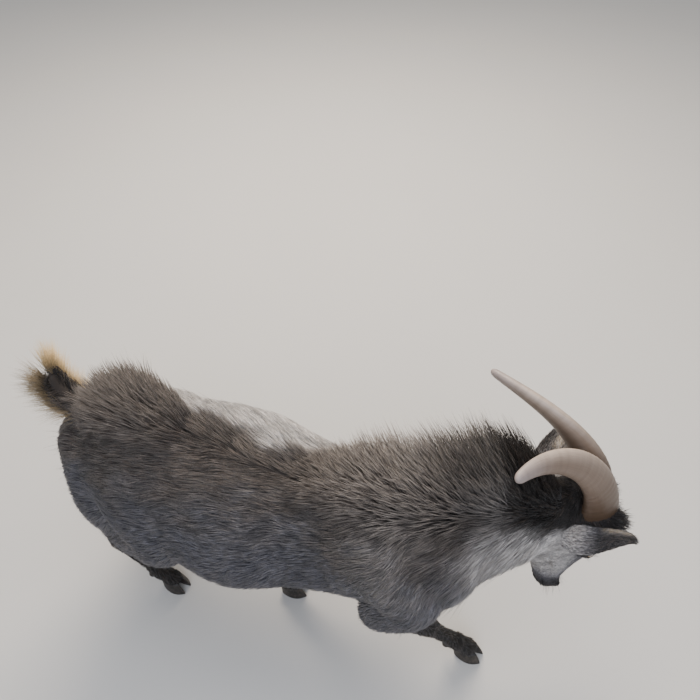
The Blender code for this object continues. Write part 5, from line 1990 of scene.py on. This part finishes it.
@dataclass
class FineHair:
    """Guard hairs, whiskers, lashes and the fringe of the tail."""

    coat: Coat
    guards: int = 5200
    fringe: int = 2600
    stiff: int = 90

    def guard_hairs(self) -> None:
        """Long hairs that stand a little out of the coat and break its outline."""
        draw = np.random.default_rng(Seed.GUARD_HAIRS)
        roots, normals = self.coat.sample(self.guards * 2, Seed.GUARD_ROOTS)
        regions = self.coat.regions(roots)
        chosen = within(regions, Region.TRUNK, Region.NECK)
        roots, normals, regions = (rows[chosen][:self.guards] for rows in (roots, normals, regions))
        lift, way, tall = self.coat.erect(roots)
        flow = self.coat.lie(roots, normals, regions)
        count = len(roots)
        lying = flow + normals * draw.uniform(0.12, 0.34, count)[:, None]
        ways = mixed(unit(lying), unit(way), lift) + draw.normal(size=(count, 3)) * 0.06
        reaches = self.coat.length(roots, regions) * 1.15 * (1 - lift) + tall * 1.06 * lift
        droops = flow * (reaches * 0.10)[:, None] - normals * (reaches * 0.16 * (1 - lift))[:, None]
        shade, paleness = draw.random(count), draw.uniform(0.1, 0.75, count)
        SingleHairs("guard_hairs", 0.00030).build(self.coat, roots, ways, reaches, droops, regions,
                                                  (shade, paleness, 0))

    def tail_fringe(self) -> None:
        """Cream fringe that fans out from the sides and the tip of the raised tail, made creamier
        on the far side as a painted highlight.
        """
        draw = np.random.default_rng(Seed.TAIL_FRINGE)
        rows = smooth_rows(TAIL, 8)
        count = self.fringe
        share = draw.uniform(0.0, 1.0, count) ** 0.8
        at = share * (len(rows) - 1)
        x, y, z, half = (np.interp(at, np.arange(len(rows)), rows[:, j]) for j in range(4))
        hand = np.where(draw.random(count) < 0.64, 1.0, -1.0) * draw.uniform(0.45, 1.0, count)
        roots = np.stack([x - 0.006 * draw.random(count), y + hand * half * 0.8,
                          z + 0.006 * draw.random(count)], axis=1)
        ways = np.stack([-0.50 + 0.30 * share, hand * (0.75 - 0.2 * share), 0.30 + 0.60 * share],
                        axis=1)
        ways = unit(ways) + draw.normal(size=(count, 3)) * 0.20
        reaches = 0.040 + 0.014 * share
        droops = np.stack([-0.008 * draw.random(count), 0.002 * hand, -0.004 * draw.random(count)],
                          axis=1)
        edge = smoothstep(0.50, 0.75, np.abs(hand) + 0.30 * smoothstep(0.75, 1.0, share))
        # The far side's fringe takes its full cream and the near side less: partly the fringe's
        # colour, partly a painted highlight of light from beyond the animal
        edge = edge * np.where(hand > 0, 1.0, 0.45)
        SingleHairs("tail_fringe", 0.00040).build(
            self.coat, roots, ways, reaches, droops, np.full(count, Region.TAIL.value),
            (draw.random(count), 0.4, 0.95 * edge))

    def whiskers(self) -> None:
        """Stiff hairs on the lips and the chin."""
        draw = np.random.default_rng(Seed.WHISKERS)
        count = self.stiff
        turn = draw.uniform(-1.9, 1.9, count)
        spots = np.stack([-0.050 + 0.024 * np.cos(turn), 0.024 * np.sin(turn),
                          draw.uniform(-0.190, -0.160, count)], axis=1)
        frame = np.array(HEAD_FRAME)
        roots, normals = self.coat.on_skin(spots @ frame[:3, :3].T + frame[:3, 3])
        down = np.array(HEAD_FRAME.to_3x3() @ Vector((-0.2, 0, -0.6)))
        ways = normals + down + draw.normal(size=(count, 3)) * 0.15
        reaches = draw.uniform(0.010, 0.022, count)
        SingleHairs("whiskers", 0.00018).build(
            self.coat, roots, ways, reaches, np.tile(down * 0.004, (count, 1)),
            np.full(count, Region.HEAD.value), (draw.random(count), 0.25, 0))

    def lashes(self) -> None:
        """Lashes along the upper lids, and a few below."""
        draw = np.random.default_rng(Seed.LASHES)
        roots, ways = [], []
        upper = np.linspace(0.30, math.pi - 0.30, 46)
        lower = math.pi + np.linspace(0.5, math.pi - 0.5, 14)
        for out in SIDES.values():
            frame = HEAD_FRAME @ Head().eye_frame(out)
            for turn in (*upper, *lower):
                across, high = math.cos(turn), -out * math.sin(turn)
                roots.append(frame @ Vector((0.0114 * across, 0.0074 * high, 0.0088)))
                ways.append(frame.to_3x3() @ Vector((0.5 * across, 0.55 * high, 0.75)))
        count = len(roots)
        ways = np.array(ways) + draw.normal(size=(count, 3)) * 0.08
        SingleHairs("lashes", 0.00016).build(
            self.coat, np.array(roots), ways, np.full(count, 0.0085),
            np.tile((0.0, 0.0, 0.002), (count, 1)), np.full(count, Region.HEAD.value),
            (draw.random(count) * 0.3, 0, 0), np.tile((1.0, 0, 0, 0), (count, 1)))

    def build(self) -> None:
        """Grow every kind."""
        for grow in (self.guard_hairs, self.tail_fringe, self.whiskers, self.lashes):
            grow()


@dataclass(frozen=True)
class Lamp:
    """A soft square light aimed at the animal.

    Attributes:
        name: its name.
        place: where it hangs.
        size: its side.
        power: its strength in watts.
        tone: its colour as hex.
    """

    name: str
    place: tuple
    size: float
    power: float
    tone: str

    def hang(self) -> None:
        """Put the light in the scene."""
        data = bpy.data.lights.new(self.name, "AREA")
        data.shape = "SQUARE"
        data.size = self.size
        data.energy = self.power
        data.color = linear(self.tone)[:3]
        obj = link(self.name, data)
        obj.location = self.place
        obj.rotation_euler = (LIT_POINT - Vector(self.place)).to_track_quat("-Z", "Y").to_euler()


LAMPS = (Lamp("key", (-0.6, 1.5, 2.0), 1.2, 70, "fff1e0"),
         Lamp("fill", (0.8, -1.8, 1.8), 2.2, 32, "e6edff"),
         Lamp("top", (0.2, 0.0, 2.8), 2.0, 30, "f4f6ff"))


@dataclass
class Studio:
    """Pale floor, soft lights and the camera that took the view."""

    site: Site
    eye: Vector = field(default_factory=lambda: Vector((0.1163, -0.453, 1.266)))
    tilt: float = 42.0
    turn: float = 20.6
    half_frame: float = 350.0
    focal: float = 672.0
    sensor: float = 36.0
    sky: str = "dfe3ea"
    sky_strength: float = 0.55
    floor_reach: float = 6.0

    def camera(self) -> None:
        """Camera at the photograph's place, above and to the right of the animal."""
        data = bpy.data.cameras.new("camera")
        data.sensor_width = self.sensor
        data.lens = data.sensor_width / 2 * self.focal / self.half_frame
        obj = link("camera", data)
        obj.location = self.eye + self.site.shift
        obj.rotation_euler = (math.radians(self.tilt), 0, math.radians(self.turn))
        bpy.context.scene.camera = obj

    def build(self) -> None:
        """Set up the studio."""
        self.camera()
        for lamp in LAMPS:
            lamp.hang()
        world = bpy.data.worlds.new("studio")
        world.use_nodes = True
        background = world.node_tree.nodes["Background"]
        background.inputs["Color"].default_value = linear(self.sky)
        background.inputs["Strength"].default_value = self.sky_strength
        bpy.context.scene.world = world
        mesh = bmesh.new()
        bmesh.ops.create_grid(mesh, x_segments=2, y_segments=2, size=self.floor_reach)
        floor = add("floor", mesh)
        floor.data.materials.append(FloorFinish("matt studio paint").build())


@dataclass(frozen=True)
class Finishes:
    """Every finish of the animal."""

    hair: Material
    skin: Material
    horn: Material
    hoof: Material
    eye: Material


def make_finishes() -> Finishes:
    """Every finish, made once."""
    return Finishes(
        # Dark roots, partly banding and partly painted shade deep in the coat, pale tips and a dull
        # gloss: the eye sees depth and single locks in the coat
        hair=HairFinish("banded goat hair").build(),
        # The same markings with no gloss, so that gaps between tufts look like more hair
        skin=HairFinish("short goat hair on skin", roughness=0.7, skin=True).build(),
        # Satin keratin with fine fibres and a painted highlight on its outer curve: the sweep of
        # the horn shows as one soft highlight
        horn=HornFinish("horn with painted highlight").build(),
        # Nearly black and scuffed: the feet end the dark legs with a dry, hard edge
        hoof=HoofFinish("worn hoof keratin").build(),
        # Amber under a clear wet coat: a sharp glint makes the head look alive
        eye=EyeFinish("wet amber eye").build())


def main() -> None:
    """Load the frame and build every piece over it."""
    logging.basicConfig(level=logging.INFO, format="%(name)s %(message)s")
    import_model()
    site = Site()
    site.settle()
    Studio(site).build()
    finishes = make_finishes()
    marks = Markings()
    skin = Body().build()
    write_bare(skin.data, marks.weights(read_vectors(skin.data)), 0.35, 0.5)
    coat = Coat(skin, site, marks, finishes.hair)
    coat.grow()
    FineHair(coat).build()
    site.join(skin, finishes.skin, "coat", FLESH_NODES)
    for side in SIDES:
        Horn(side).build(site, finishes.horn)
        Ear(side).build(site, finishes.skin, finishes.hair)
        Eye(side).build(site, finishes.eye)
        for kind in ("fore", "hind"):
            Hoof(kind, side).build(site, finishes.hoof)


if __name__ == "__main__":
    main()
